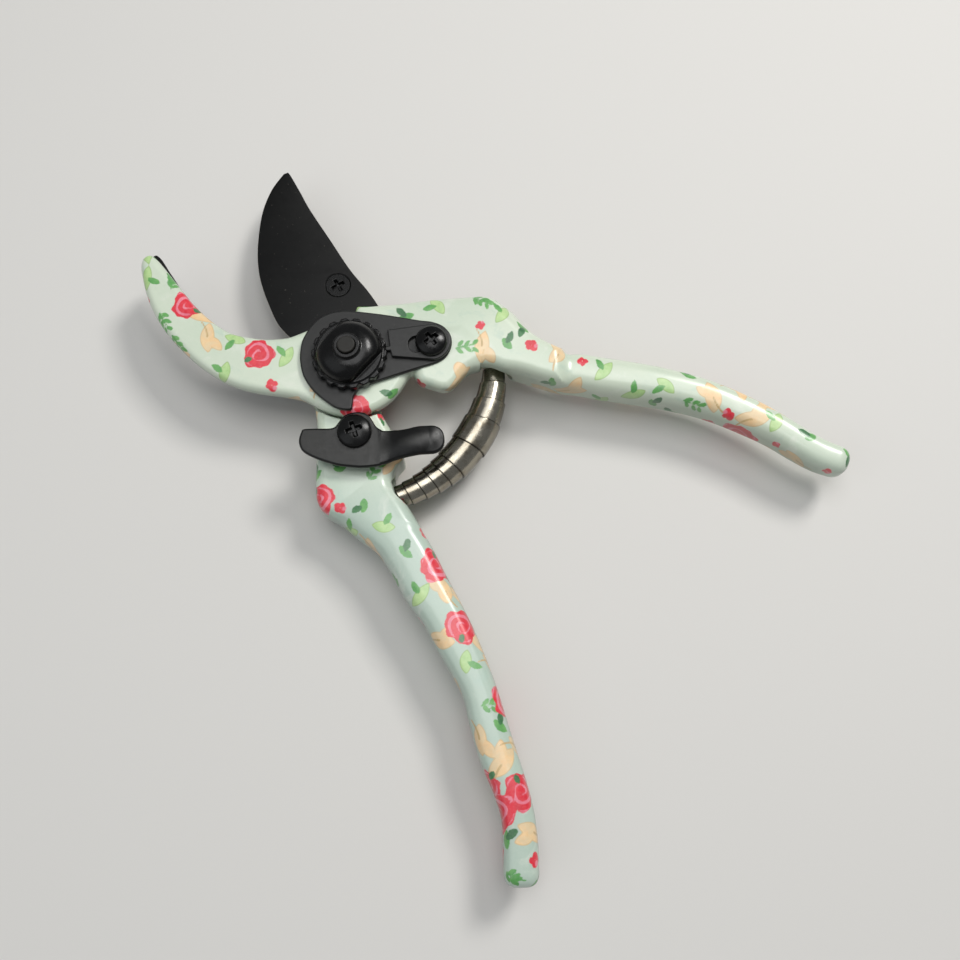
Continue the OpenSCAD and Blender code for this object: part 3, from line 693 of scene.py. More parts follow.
def lower_handle(x, y, z):
    rad = np.hypot(x, y)
    seat = smooth_min(rad - BOSS_RADIUS, polygon(x, y, BLADE_SEAT), blend=1)
    screw_boss = np.hypot(x - BLADE_SCREW[0] - 0.3, y - BLADE_SCREW[1]) - 6.0
    seat = smooth_min(seat, screw_boss, blend=0.8)
    neck = slab(polygon(x, y, NECK), z, bottom=SEAT_BOTTOM, top=5, edge=2.6)
    # round room for the blade, cut from the neck and again after the blends
    neck = np.maximum(neck, -np.maximum(rad - 16.4, SEAT_TOP - z))
    dist = smooth_min(neck, slab(seat, z, bottom=SEAT_BOTTOM, top=SEAT_TOP, edge=1.0), blend=0.6)
    dist = smooth_min(dist, LOWER_GRIP(x, y, z), blend=2.6)
    dist = np.maximum(dist, -np.maximum(rad - 16.38, SEAT_TOP - z))
    latch_post = np.hypot(x - LATCH_SCREW[0], y - LATCH_SCREW[1]) - 5
    dist = smooth_min(dist, slab(latch_post, z, bottom=0, top=7.9, edge=0.4), blend=1.2)
    # pocket for the spring between two rays, with a peg standing in it
    tube = spring_tube(rad, z)
    pocket_ends = np.maximum(turned(x, y, -50)[1], -turned(x, y, -71.2)[1])
    dist = smooth_max(dist, -np.maximum(tube - SPRING_POCKET, pocket_ends), blend=0.6)
    peg_ends = np.maximum(turned(x, y, -66)[1], -turned(x, y, -72)[1])
    dist = np.minimum(dist, smooth_max(tube - LOWER_PEG_RADIUS, peg_ends, blend=0.4))
    dist = bore(dist, x, y, PIVOT, radius=5.53)
    dist = bore(dist, x, y, BLADE_SCREW, radius=2.05)
    return bore(dist, x, y, LATCH_SCREW, radius=2.2)


# ---------------------------------------------------------------- printed flowers
LAYERS = ["lime", "peach", "stem", "lleaf", "green", "dgreen", "red", "pink", "white", "gtop"]
FAR = 6.0                  # distance stored where a layer has no motif
MOTIF_STEP = 6.2           # least distance between motifs
MOTIF_TRIES = 9000         # vertices tried as motif places


def pointed_oval(along, across, length, width):
    """Distance to a leaf between two arcs, centred."""
    radius = (length * length + width * width) / (4 * width)
    shift = radius - width / 2
    side, end = np.abs(across), np.abs(along)
    tip = (end - length / 2) * shift > side * length / 2
    return np.where(tip, np.hypot(side, end - length / 2), np.hypot(side + shift, end) - radius)


class Print:
    """Distances in mm from the motifs of each layer, stored on a handle's vertices."""

    def __init__(self, verts, normals):
        self.verts, self.normals = verts, normals
        self.layers = {layer: np.full(len(verts), FAR) for layer in LAYERS}

    def tangents(self, i, degrees):
        """Normal at vertex i and two tangents, the first along a plan direction."""
        normal = self.normals[i]
        angle = math.radians(degrees)
        ahead = np.array([math.cos(angle), math.sin(angle), 0.0])
        if abs(normal[2]) < 0.5:
            ahead = ahead + np.array([0, 0, math.sin(angle)])
        along = ahead - normal * ahead.dot(normal)
        if np.linalg.norm(along) < 0.2:
            along = np.cross(normal, [0.3, 0.5, 0.8])
        along /= np.linalg.norm(along)
        return normal, along, np.cross(normal, along)

    def local(self, i, degrees, reach):
        """Vertices near i that face its way, with coordinates along and across."""
        normal, along, across = self.tangents(i, degrees)
        offset = self.verts - self.verts[i]
        near = (offset * offset).sum(1) < (reach * 1.3 + 1.5) ** 2
        near &= self.normals @ normal > 0.05
        ids = np.nonzero(near)[0]
        offset = offset[ids]
        # wrap: keep the length along the surface where it curves away
        drop = offset @ normal
        flat_along, flat_across = offset @ along, offset @ across
        length = np.maximum(np.hypot(flat_along, flat_across), 1e-6)
        wrap = np.sqrt(length * length + drop * drop) / length
        return ids, flat_along * wrap, flat_across * wrap

    def put(self, layer, ids, dist):
        values = self.layers[layer]
        values[ids] = np.minimum(values[ids], dist)

    def leaf(self, layer, i, degrees, length, width, bend=0.0, shift=0.0):
        ids, along, across = self.local(i, degrees, length)
        along = along - shift
        bent = across - bend * (along * along) / length
        self.put(layer, ids, pointed_oval(along, bent, length, width))

    def stem(self, i, degrees, length, bend, half_width=0.28, layer="stem"):
        ids, along, across = self.local(i, degrees, length)
        bent = across - bend * along * along / length
        ends = np.abs(along - length / 2) - length / 2
        self.put(layer, ids, np.maximum(np.abs(bent) - half_width, ends))

    def blossom(self, i, degrees, size, petals=4):
        """Cluster of round petals round a small pale heart."""
        ids, along, across = self.local(i, degrees, size)
        for k in range(petals):
            angle = 2 * math.pi * (k + 0.12 * math.sin(5 * k + degrees)) / petals
            petal = np.hypot(along - 0.48 * size * math.cos(angle),
                             across - 0.48 * size * math.sin(angle))
            self.put("red", ids, petal - size * (0.50 if k % 2 else 0.42))
        self.put("pink", ids, np.hypot(along + 0.35 * size, across - 0.5 * size) - 0.30 * size)
        self.put("white", ids, np.hypot(along, across) - size * 0.13)

    def rose(self, i, degrees, size, white, pink):
        """Cabbage rose: red heart, spiral petals, pale outer petals on one side."""
        ids, along, across = self.local(i, degrees, size)
        rad, turn = np.hypot(along, across), np.arctan2(across, along)
        edge = size * (1 + 0.07 * np.cos(3 * turn + 1) + 0.06 * np.cos(5 * turn)
                       + 0.04 * np.cos(9 * turn + 2))
        self.put("red", ids, rad - edge)
        spiral = np.sin(2 * math.pi * (rad / size * 2.1 - turn / (2 * math.pi))
                        + 0.6 * np.sin(3 * turn))
        petal = (0.62 - spiral) * 0.16 * size + 0.02
        limit = np.maximum(rad - edge + 0.15, 0.16 * size - rad)
        side = np.cos(turn - 0.6)
        self.put("pink", ids, np.maximum(petal - pink * 0.08 * size, limit)
                 - 0.05 * size * (side - 0.4))
        # pale crescent on the side away from the motif's direction
        heart = np.hypot(along - 0.12 * size, across - 0.05 * size) - 0.62 * size
        pale = np.maximum(np.hypot(along + 0.25 * size, across) - 0.62 * size * white * 2, -heart)
        gaps = (-0.1 - spiral) * 0.12 * size - 0.02 * size - (white - 0.5) * size
        self.put("white", ids, np.maximum(np.maximum(pale, limit), gaps))

    def sprig(self, i, degrees, length, pairs=3, width=1.1):
        """Green stem with pairs of small leaves."""
        self.stem(i, degrees, length, bend=0.15, half_width=0.24, layer="green")
        _, along, across = self.tangents(i, degrees)
        for k in range(pairs):
            reach = (k + 0.7) / pairs * length
            for side in (1, -1):
                spot = self.verts[i] + along * reach + across * side * width * 0.9
                nearest = int(np.argmin(((self.verts - spot) ** 2).sum(1)))
                self.leaf("green", nearest, degrees + side * 42, width * 2.3, width * 1.05)


def scatter(verts, keep, seed):
    """Seeded vertices where keep is true, at least MOTIF_STEP apart."""
    ids = np.nonzero(keep)[0]
    np.random.default_rng(seed).shuffle(ids)
    taken = []
    chosen = []
    for i in ids[:MOTIF_TRIES]:
        spot = verts[i]
        if all((spot[0] - p[0]) ** 2 + (spot[1] - p[1]) ** 2 + (spot[2] - p[2]) ** 2
               > MOTIF_STEP * MOTIF_STEP for p in taken):
            taken.append(spot)
            chosen.append(int(i))
    return chosen


def print_garden(pattern, keep, seed):
    """Cottage-garden pattern over the vertices where keep is true."""
    rng = np.random.default_rng(seed)
    draw = rng.uniform
    for i in scatter(pattern.verts, keep, seed):
        angle, kind = draw(0, 360), draw()
        if kind < 0.30:
            pattern.leaf("peach", i, angle, draw(7, 10), draw(3.4, 4.6), bend=0.2)
            pattern.leaf("peach", i, angle + 50, draw(5, 7), draw(2.4, 3.4), bend=-0.2, shift=2.5)
            pattern.stem(i, angle + 180, length=5, bend=0.4)
        elif kind < 0.48:
            pattern.leaf("green", i, angle, draw(3.6, 5), width=2.2, bend=0.15)
            pattern.leaf("dgreen", i, angle + 120, draw(3.2, 4.2), width=1.9, bend=0.1, shift=2)
        elif kind < 0.60:
            pattern.leaf("lleaf", i, angle, draw(6, 8), width=3, bend=0.15)
            pattern.leaf("green", i, angle + 70, length=4, width=1.8, bend=0.1, shift=2.4)
        elif kind < 0.74:
            pattern.rose(i, angle, draw(3.4, 5.0), white=draw(0.3, 0.7), pink=draw(0.4, 0.7))
            pattern.leaf("gtop", i, angle + 200, length=2.6, width=1.5, bend=0.1, shift=3.2)
        elif kind < 0.88:
            pattern.blossom(i, angle, draw(1.4, 2.2))
        else:
            pattern.sprig(i, angle, length=6)


def printed_handle(name, field, low, high, body, node, seed):
    verts, quads, normals = surface_nets(field, low, high, grid_size((0.7, 0.45)))
    pattern = Print(verts, normals)
    # no motif is centred in this block beside the upper handle's pocket
    x, y, z = verts.T
    bare = (x > 33) & (x < 53) & (y > -9) & (y < 3) & (z > -2)
    print_garden(pattern, ~bare, seed)
    obj = add_mesh(name, verts, quads, normals, pattern.layers)
    place(obj, body, node, mat_enamel)


printed_handle("forged_upper_handle", upper_handle, (-61.5, -32.5, -8), (136, 35, 9),
               "upper", "upper_handle", seed=11)
printed_handle("forged_lower_handle", lower_handle, (-17, -136, -9), (51, 34, 9),
               "lower", "lower_handle", seed=23)

# ---------------------------------------------------------------- cutting blade
# x, y: the cutting edge on the -x side, from the tang to the tip
BLADE_EDGE = [[-17.6, 8.6], [-20.1, 11], [-22.5, 14], [-24.8, 18.7], [-27.1, 24.3],
              [-28.6, 29.5], [-29.4, 35.4], [-29.4, 42.5], [-28.6, 50], [-26.4, 56.8],
              [-23.2, 62]]
# the back on the +x side, from the tip to the tang
BLADE_BACK = [[-22.3, 62.4], [-21.4, 61.9], [-18, 55.9], [-14.8, 50], [-8.5, 40.2],
              [-2.4, 30.7], [3, 23.9], [6.6, 18.4], [9.8, 12]]
BEVEL_WIDTH = 6            # widest part of the ground face
BLADE_BOTTOM = -3.0


def circle(centre, radius, z, count=64):
    angles = np.linspace(0, 2 * math.pi, count, endpoint=False)
    return np.c_[centre[0] + radius * np.cos(angles), centre[1] + radius * np.sin(angles),
                 np.full(count, z)]


def inset(outline, depth):
    side = 1 if signed_area(outline) > 0 else -1
    return outline - right_normals(outline) * side * depth


def shell(rings, holes):
    """Closed body from stacked outline rings (top first) and hole rings (top first)."""
    verts, faces = list(rings), []
    count = len(rings[0])
    anticlockwise = signed_area(rings[1]) > 0
    for k in range(len(rings) - 1):
        for i in range(count):
            j = (i + 1) % count
            quad = (k * count + i, (k + 1) * count + i, (k + 1) * count + j, k * count + j)
            faces.append(quad if anticlockwise else quad[::-1])
    offset = len(rings) * count
    tops, bottoms = [(rings[0], 0)], [(rings[-1], (len(rings) - 1) * count)]
    for hole in holes:
        around = len(hole[0])
        for k in range(len(hole) - 1):
            upper, lower = offset + k * around, offset + (k + 1) * around
            for i in range(around):
                j = (i + 1) % around
                faces.append((upper + i, upper + j, lower + j, lower + i))
        tops.append((hole[0], offset))
        bottoms.append((hole[-1], offset + (len(hole) - 1) * around))
        verts += hole
        offset += len(hole) * around
    # both caps are triangulated around the holes and turned to face outwards
    for caps, facing in ((tops, 1), (bottoms, -1)):
        triangles = geometry.tessellate_polygon(
            [[Vector(map(float, p)) for p in loop] for loop, _ in caps])
        ids = np.concatenate([first + np.arange(len(loop)) for loop, first in caps])
        points = np.concatenate([loop for loop, _ in caps])
        for triangle in triangles:
            p0, p1, p2 = (points[i] for i in triangle)
            cross = (p1[0] - p0[0]) * (p2[1] - p0[1]) - (p2[0] - p0[0]) * (p1[1] - p0[1])
            face = tuple(int(ids[i]) for i in triangle)
            faces.append(face if cross * facing > 0 else face[::-1])
    return np.concatenate(verts), faces


def cutting_blade():
    """Flat on top; the ground face runs from the edge inwards to the bottom."""
    edge = spline(BLADE_EDGE, 10)
    count = len(edge)
    tangent = np.gradient(edge, axis=0)
    tangent /= np.linalg.norm(tangent, axis=1, keepdims=True)
    run = np.concatenate([[0], np.cumsum(np.linalg.norm(np.diff(edge, axis=0), axis=1))])
    swell = np.sin(math.pi * np.minimum(1, run / run[-1] * 0.92 + 0.06))
    width = BEVEL_WIDTH * (0.35 + 0.65 * swell)
    tang = arc(PIVOT, TANG_RADIUS, range(46, -212, -4))
    top = np.concatenate([edge, spline(BLADE_BACK, 8)[1:], tang])
    total = len(top)
    on_edge = np.arange(total) < count
    bottom = top.copy()
    bottom[:count] = edge + width[:, None] * np.c_[tangent[:, 1], -tangent[:, 0]]

    def ring(outline, edge_z, other_z):
        return np.c_[outline, np.where(on_edge, edge_z, other_z)]

    rings = [ring(inset(top, 0.20), 0.0, 0.0), ring(inset(top, 0.06), -0.05, -0.05),
             ring(top, -0.16, -0.16), ring(top, -0.30, -2.82),
             ring(inset(bottom, 0.06), -2.9, -2.95),
             ring(inset(bottom, 0.20), BLADE_BOTTOM, BLADE_BOTTOM)]
    # radius and height of each ring, countersunk for the screw, plain for the pivot
    screw_hole = ((3.85, 0), (3.72, -0.08), (2.06, -1.66), (2.06, BLADE_BOTTOM))
    pivot_hole = ((5.56, 0), (5.56, BLADE_BOTTOM))
    holes = [[circle(centre, radius, z) for radius, z in hole]
             for centre, hole in ((BLADE_SCREW, screw_hole), (PIVOT, pivot_hole))]
    verts, faces = shell(rings, holes)
    # bare steel on the ground face and, faintly, along the very edge seen from above
    ground = np.zeros(len(verts))
    for k, amount in ((1, 0.78), (2, 1.0), (3, 1.0)):
        ground[k * total:k * total + count] = amount
    obj = add_mesh("blade_with_ground_edge", verts, faces, attrs={"ground": ground})
    obj.data.set_sharp_from_angle(angle=math.radians(25))
    place(obj, "lower", "cutting_blade", mat_ground)


cutting_blade()

# ---------------------------------------------------------------- counter blade
# x, y: the +y side, from the tip to the tang
COUNTER_UPPER = [
    [-58.4, 33.5], [-57.5, 33.8], [-56, 32.5], [-54.1, 29.6], [-52.2, 26.9], [-50, 23.6],
    [-47.4, 20.3], [-43.2, 15.3], [-39.8, 12.2], [-36.2, 9.7], [-30.6, 7.7], [-25.1, 7],
    [-19, 7.3], [-15, 8.4], [-11, 9.6]]
# the -y side, from the tang to the tip
COUNTER_LOWER = [[-15, -8.4], [-23, -6.8], [-31, -4.5], [-39, 0], [-46.5, 6.5], [-51.5, 13],
                 [-55.6, 20.5], [-57.9, 27.6], [-58.7, 31.6]]


def rounded_plate(outline, bottom, top, edge, steps=3):
    """Vertices and faces of a plate from a dense outline, its edges rounded by edge."""
    if signed_area(outline) < 0:
        outline = outline[::-1]
    normals = right_normals(outline)
    quarter = [k / steps * math.pi / 2 for k in range(steps + 1)]
    rings = [(outline - normals * edge * (1 - math.sin(a)), bottom + edge * (1 - math.cos(a)))
             for a in quarter]
    rings += [(outline - normals * edge * (1 - math.cos(a)), top - edge * (1 - math.sin(a)))
              for a in quarter]
    count = len(outline)
    verts = np.concatenate([np.c_[ring, np.full(count, z)] for ring, z in rings])
    faces = []
    for k in range(len(rings) - 1):
        for i in range(count):
            j = (i + 1) % count
            faces.append((k * count + i, k * count + j, (k + 1) * count + j, (k + 1) * count + i))
    faces.append(tuple(range(count))[::-1])
    last = (len(rings) - 1) * count
    faces.append(tuple(last + i for i in range(count)))
    return verts, faces


def counter_blade():
    tang = arc(PIVOT, TANG_RADIUS, range(130, -141, -4))
    outline = np.concatenate([spline(COUNTER_UPPER, 8), tang, spline(COUNTER_LOWER, 8)])
    verts, faces = rounded_plate(outline, bottom=0.05, top=2.98, edge=0.25)
    obj = add_mesh("counter_blade_steel", verts, faces)
    # the two caps have many sides
    triangulate = obj.modifiers.new("tri", "TRIANGULATE")
    triangulate.min_vertices = 5
    obj.data.set_sharp_from_angle(angle=math.radians(28))
    place(obj, "upper", "counter_blade", mat_blade)


counter_blade()

# ---------------------------------------------------------------- lock plate
# x, y: clockwise round the end at the lock screw
PLATE_END = [
    [-1.9, 13.5], [2.2, 13.1], [7.7, 12.4], [13.2, 11.5], [18.7, 10.5], [21.9, 10.1],
    [24.9, 8.9], [26.9, 6.7], [27.5, 4.1], [26.9, 1.4], [25.4, -0.7], [22.9, -2.1],
    [19, -3.3], [13.6, -5.1], [8.3, -6.9], [5.6, -7.9]]
# radius, degrees: clockwise round the pivot on its -x side
PLATE_LOBE = [(15.3, -93), (15.2, -98), (14.9, -105), (14.3, -114), (13.9, -124),
              (13.7, -134), (13.6, -146), (13.6, -160), (13.6, -178)]
# x, y: on from the lobe to the start
PLATE_CLOSE = [[-13.4, 3.5], [-12.5, 6.3], [-10.8, 9.1], [-8.6, 11.4], [-5.6, 12.9]]
PLATE = np.concatenate([
    spline(PLATE_END, 4),
    [[2.5, -9.3], polar(11.8, -84), polar(14.9, -86), polar(15.3, -88)],
    spline([polar(*p) for p in PLATE_LOBE] + PLATE_CLOSE, 4)])


def lock_plate(x, y, z):
    plan = bore(polygon(x, y, PLATE), x, y, PIVOT, radius=4.7)
    plan = bore(plan, x, y, LOCK_SCREW, radius=2.3)
    return slab(plan, z, bottom=8.03, top=9.58, edge=0.42)


build("nut_lock_plate", lock_plate, (-14, -16, 8), (28, 14, 9.6), (0.3, 0.2),
      "upper", "lock_plate", mat_plate)

# ---------------------------------------------------------------- lock slider
TOOTH_RADIUS = 0.65        # rounded tooth that points at the nut
# along and across the ray from the pivot to the lock screw
SLIDER = np.array([[11, 5.4]] + arc((LOCK_RADIUS, 0), 5.2, range(90, -91, -5))
                  + [[11.2, -2.4], [11, -TOOTH_RADIUS]]
                  + arc((10.3, 0), TOOTH_RADIUS, range(-90, -271, -20)) + [[11, TOOTH_RADIUS]])
SLOT_CENTRE, SLOT_HALF, SLOT_RADIUS = 20.3, 2, 2.3


def lock_slider(x, y, z):
    along, across = turned(x, y, LOCK_ANGLE)
    past = np.maximum(np.abs(along - SLOT_CENTRE) - SLOT_HALF, 0)
    slot = np.hypot(past, across) - SLOT_RADIUS
    plan = np.maximum(polygon(along, across, SLIDER), -slot)
    return slab(plan, z, bottom=LOCK_STACK_Z, top=10.83, edge=0.3)


build("slotted_lock_slider", lock_slider, (9, -4, 9.6), (28.5, 10, 10.9), (0.2, 0.15),
      "slider", "lock_slider", mat_plate)

# ---------------------------------------------------------------- thumb latch
# x, y of the flat tab round the latch screw
LATCH_TAB = spline([
    [8.7, -30.6], [6.3, -31.1], [3.7, -31.3], [1.1, -31.1], [-2.1, -30.7], [-5.5, -29.7],
    [-8.2, -28.7], [-10.9, -27.3], [-12.2, -25.9], [-12.7, -23.7], [-12.2, -21.5],
    [-11.6, -20.7], [-9, -20.5], [-4.8, -20.5], [-3.3, -20], [-2.3, -18.6], [-1.3, -17.2],
    [0.3, -16.3], [3, -15.9], [5.2, -16.6], [6.5, -18.2], [7.5, -19.8], [8.8, -21]], 5)
# x, y, half width, rise above the tab
LATCH_ARM = Sweep([[6, -25.9, 4.7, 0], [8.7, -25.8, 4.7, 0], [11.4, -25.3, 4.2, 0.4],
                   [14, -24.9, 3.9, 1.1], [16.7, -24.5, 3.8, 1.6], [19.3, -24, 3.9, 1.75],
                   [21.9, -23.8, 3.9, 1.35]], end_power=2.4)
LATCH_Z = 9.0              # middle of the tab's thickness
LATCH_HALF = 0.78          # half its thickness


def thumb_latch(x, y, z):
    off_arm, width, rise = LATCH_ARM.plan(x, y)
    plan = smooth_min(polygon(x, y, LATCH_TAB), off_arm - width, blend=1.0)
    fall = np.clip((x - 21.5) / 4.2, 0, 1)
    middle = LATCH_Z + rise - 0.9 * fall ** 2
    # the arm is dished over towards its rims
    on_arm = np.clip((x - 9) / 5, 0, 1)
    middle = middle - on_arm * 1.25 * np.clip(off_arm / 4.2, 0, 1) ** 2
    # the tip stays clear of the upper handle when the handles close
    clear = 8.2 + 1.28 * np.clip((x - 16) / 6, 0, 1)
    middle = np.where(x > 16, smooth_max(middle, clear, blend=0.8), middle)
    dist = slab(plan, z - middle, bottom=-LATCH_HALF, top=LATCH_HALF, edge=0.62)
    return bore(dist, x, y, LATCH_SCREW, radius=2.2)


build("thumb_latch", thumb_latch, (-13.2, -32, 7.9), (26.6, -15.4, 12), (0.28, 0.2),
      "latch", "latch", mat_latch)


# ---------------------------------------------------------------- screws
def cross_recess(dist, along, across, half_length, half_width, below_floor, blend):
    """Cuts a cross-shaped driver recess."""
    for first, second in ((along, across), (across, along)):
        arm = np.maximum(np.abs(first) - half_length, np.abs(second) - half_width)
        dist = smooth_max(dist, -np.maximum(arm, below_floor), blend)
    return dist


def pan_screw(name, body, node, centre, base, radius, height, length, turn):
    """Domed head from base upwards, with a shank of this length below it."""
    depth = 1.45           # of the recess
    shank = 2.15           # radius
    dome = 2.0 * radius

    def field(x, y, z):
        x, y, z = x - centre[0], y - centre[1], z - base
        rad = np.hypot(x, y)
        dist = smooth_max(rad - radius, np.hypot(rad, z - (height - dome)) - dome, blend=0.7)
        dist = smooth_max(dist, -z, blend=0.3)
        sink = np.clip((height - z) / depth, 0, 1.2)
        dist = cross_recess(dist, *turned(x, y, turn), half_length=radius * 0.52 - 0.75 * sink,
                            half_width=0.62 - 0.22 * sink, below_floor=(height - depth) - z,
                            blend=0.12)
        pin = np.maximum(rad - shank, np.maximum(z - 0.3, -length - z))
        return smooth_min(dist, pin, blend=0.05)

    build(name, field, (centre[0] - radius, centre[1] - radius, base - length),
          (centre[0] + radius, centre[1] + radius, base + height), (0.24, 0.15),
          body, node, mat_gloss)


pan_screw("latch_pan_screw", "lower", "latch_screw", LATCH_SCREW, base=9.85, radius=4.6,
          height=2.4, length=12.2, turn=20)
pan_screw("slider_pan_screw", "upper", "lock_screw", LOCK_SCREW, base=10.88, radius=4.3,
          height=2.3, length=10.5, turn=38)

FLUSH_RADIUS = 3.6         # head of the blade screw
FLUSH_TOP = -0.05


def blade_screw(x, y, z):
    """Countersunk head just under the shear plane, with its shank below."""
    x, y = x - BLADE_SCREW[0], y - BLADE_SCREW[1]
    rad = np.hypot(x, y)
    cone = np.maximum(rad - FLUSH_RADIUS - (z - FLUSH_TOP), rad - FLUSH_RADIUS)
    dist = np.maximum(cone, np.abs(z + 0.85) - 0.8)
    sink = np.clip((FLUSH_TOP - z) / 1.0, 0, 1)
    dist = cross_recess(dist, *turned(x, y, 30), half_length=2.0 - 0.6 * sink,
                        half_width=0.5 - 0.15 * sink, below_floor=-1.1 - z, blend=0.1)
    return np.minimum(dist, np.maximum(rad - 2.0, np.maximum(z + 1.2, -8.15 - z)))


build("flush_blade_screw", blade_screw, (BLADE_SCREW[0] - 3.7, BLADE_SCREW[1] - 3.7, -8.2),
      (BLADE_SCREW[0] + 3.7, BLADE_SCREW[1] + 3.7, 0), (0.22, 0.15),
      "lower", "blade_screw", mat_gloss)

# ---------------------------------------------------------------- adjusting nut
# radius, height of the dome above the nut's base
DOME = [[0, 0.8], [8.9, 0.8]] + spline([[8.9, 2.5], [8.62, 3.6], [7.95, 4.7], [6.85, 5.62],
                                        [5.4, 6.3], [3.6, 6.7]], 6).tolist() + [[0, 6.72]]
FLANGE_RADIUS = 10.15
NOTCH_STEP = 2 * math.pi / 18
NOTCH_CENTRE, NOTCH_RADIUS = 10.35, 0.85
FLATS_ANGLE, FLATS_HALF = 49, 6.65     # direction of the two flats, half the width across


def adjusting_nut(x, y, z):
    rad = np.hypot(x, y)
    z = z - LOCK_STACK_Z
    angle = np.arctan2(y, x) - math.radians(LOCK_ANGLE)
    angle = (angle + NOTCH_STEP / 2) % NOTCH_STEP - NOTCH_STEP / 2
    notch = np.hypot(rad * np.cos(angle) - NOTCH_CENTRE, rad * np.sin(angle)) - NOTCH_RADIUS
    flange = smooth_max(rad - FLANGE_RADIUS, -notch, blend=0.25)
    flange = slab(flange, z, bottom=0, top=2.3, edge=0.35)
    flats = np.abs(turned(x, y, FLATS_ANGLE)[1]) - FLATS_HALF
    dist = smooth_max(polygon(rad, z, DOME), flats, blend=0.7)
    dist = smooth_min(dist, slab(rad - 8.9, z, bottom=0.5, top=2.75, edge=0.3), blend=0.3)
    dist = smooth_min(dist, flange, blend=0.5)
    collar = slab(rad - 3.6, z, bottom=5, top=7.5, edge=0.35)
    dist = smooth_min(dist, collar, blend=0.5)
    return smooth_max(dist, 2.42 - rad, blend=0.2)


build("notched_dome_nut", adjusting_nut, (-10.4, -10.4, LOCK_STACK_Z),
      (10.4, 10.4, LOCK_STACK_Z + 7.6), (0.25, 0.17),
      "upper", "adjusting_nut", mat_gloss)


# ---------------------------------------------------------------- pivot bolt
def pivot_bolt(x, y, z):
    """Domed head downwards, then a shank in three widths."""
    rad = np.hypot(x, y)
    over_floor = z + LIFT
    head = slab(rad - 9.5, over_floor, bottom=0, top=2.45, edge=0.4)
    head = smooth_max(head, np.hypot(rad, over_floor - 19.0) - 19.9 + 0.35, blend=0.4)
    head = smooth_max(head, -over_floor, blend=0.2)
    wide = np.maximum(rad - 4.0, np.abs(z + 4.7) - 4.6)
    dist = smooth_min(head, wide, blend=0.05)
    dist = np.minimum(dist, np.maximum(rad - 3.3, np.abs(z - 3.9) - 4.0))
    return smooth_min(dist, slab(rad - 2.36, z, bottom=7.0, top=17.88, edge=0.3), blend=0.05)


build("domed_pivot_bolt", pivot_bolt, (-9.6, -9.6, -LIFT), (9.6, 9.6, 17.95), (0.35, 0.22),
      "upper", "pivot_bolt", mat_bolt)

# ---------------------------------------------------------------- spring
# direction in degrees from the pivot where each turn of the strip starts
TURN_STARTS = [-71, -67.3, -61.8, -56.7, -51.7, -46.4, -35.9, -27, -19, -13]
TURN_WIDTH = 13.6          # degrees
TURN_MARGIN = 0.62         # degrees left off each rim
WIDEST = 6                 # index of the widest turn
WIDEST_RADIUS = 5.3
RADIUS_STEP = 0.367        # each turn before the widest nests in the next
# the last turns are wound to a cone: radius at the first rim, loss towards the second
CONE = {7: (4.93, 0.43), 8: (4.33, 0.65), 9: (3.70, 0.62)}
WALL = 0.3
RIM_ROUND, RIM_REACH = 0.12, 0.25      # depth and width of the rounding at the rims
MM_PER_DEGREE = 0.686      # along the spring's arc
AROUND = 72                # points round the tube
# fractions of the width where the tube has rings, closer at the rims
RING_PLACES = np.concatenate([[0, 0.012, 0.024, 0.036, 0.055], np.linspace(0.1, 0.9, 16),
                              [0.945, 0.964, 0.976, 0.988, 1]])


def turn_mesh(index):
    """One turn of the strip: a bent tube whose rims run askew, as the winding does."""
    nested = WIDEST_RADIUS + (index - WIDEST) * RADIUS_STEP
    radius, loss = CONE.get(index, (nested, 0.0))
    start = TURN_STARTS[index]
    end = start + TURN_WIDTH
    phi = np.linspace(0, 2 * math.pi, AROUND, endpoint=False)
    skew = 0.55 if index % 2 == 0 else 0.45
    lean = skew * (np.cos(phi + 0.9) + 0.35 * np.sin(2 * phi))
    first, last = start + TURN_MARGIN + lean, end - TURN_MARGIN + lean

    def ring(size, part):
        angle = np.radians(first + (last - first) * part)
        rad = SPRING_RADIUS + size * np.cos(phi)
        return np.stack([rad * np.cos(angle), rad * np.sin(angle),
                         SPRING_Z + size * np.sin(phi)], 1)

    def rim(part):
        """1 at either rim, falling to 0 inside it."""
        inside = min(part, 1 - part) * TURN_WIDTH * MM_PER_DEGREE
        return max(0, 1 - inside / RIM_REACH) ** 2

    rings, painted_seam_shadow = [], []
    for part in RING_PLACES:
        # painted shadow darkens the rims that meet a wider turn, and both rims of the widest
        near = part if index < WIDEST else 1 - part if index > WIDEST else min(part, 1 - part)
        depth = 0.45 if index > WIDEST else 1.0
        painted_seam_shadow.append(np.full(AROUND, depth * float(np.clip((0.040 - near) / 0.02, 0, 1))))
        thin = 0.14 * max(0.0, (part - 0.6) / 0.4) ** 2 if index == WIDEST else 0.0
        rings.append(ring(radius - loss * part - thin - RIM_ROUND * rim(part), part))
    for part in RING_PLACES[::-1]:
        painted_seam_shadow.append(np.zeros(AROUND))
        rings.append(ring(radius - loss * part - WALL + RIM_ROUND * 0.5 * rim(part), part))
    count = len(rings)
    faces = []
    for k in range(count):
        here, after = k * AROUND, (k + 1) % count * AROUND
        for i in range(AROUND):
            j = (i + 1) % AROUND
            faces.append((here + i, after + i, after + j, here + j))
    return np.concatenate(rings), faces, np.concatenate(painted_seam_shadow)


for i in range(len(TURN_STARTS)):
    verts, faces, painted_seam_shadow = turn_mesh(i)
    # the attribute carries the painted shadow at the rims
    coil = add_mesh("spring_coil_%d" % (i + 1), verts, faces, attrs={"painted_seam_shadow": painted_seam_shadow})
    coil.data.set_sharp_from_angle(angle=math.radians(50))
    body = {0: "lower", len(TURN_STARTS) - 1: "upper"}.get(i, "turn_%d" % (i + 1))
    place(coil, body, "spring_turn_%d" % (i + 1), mat_spring)

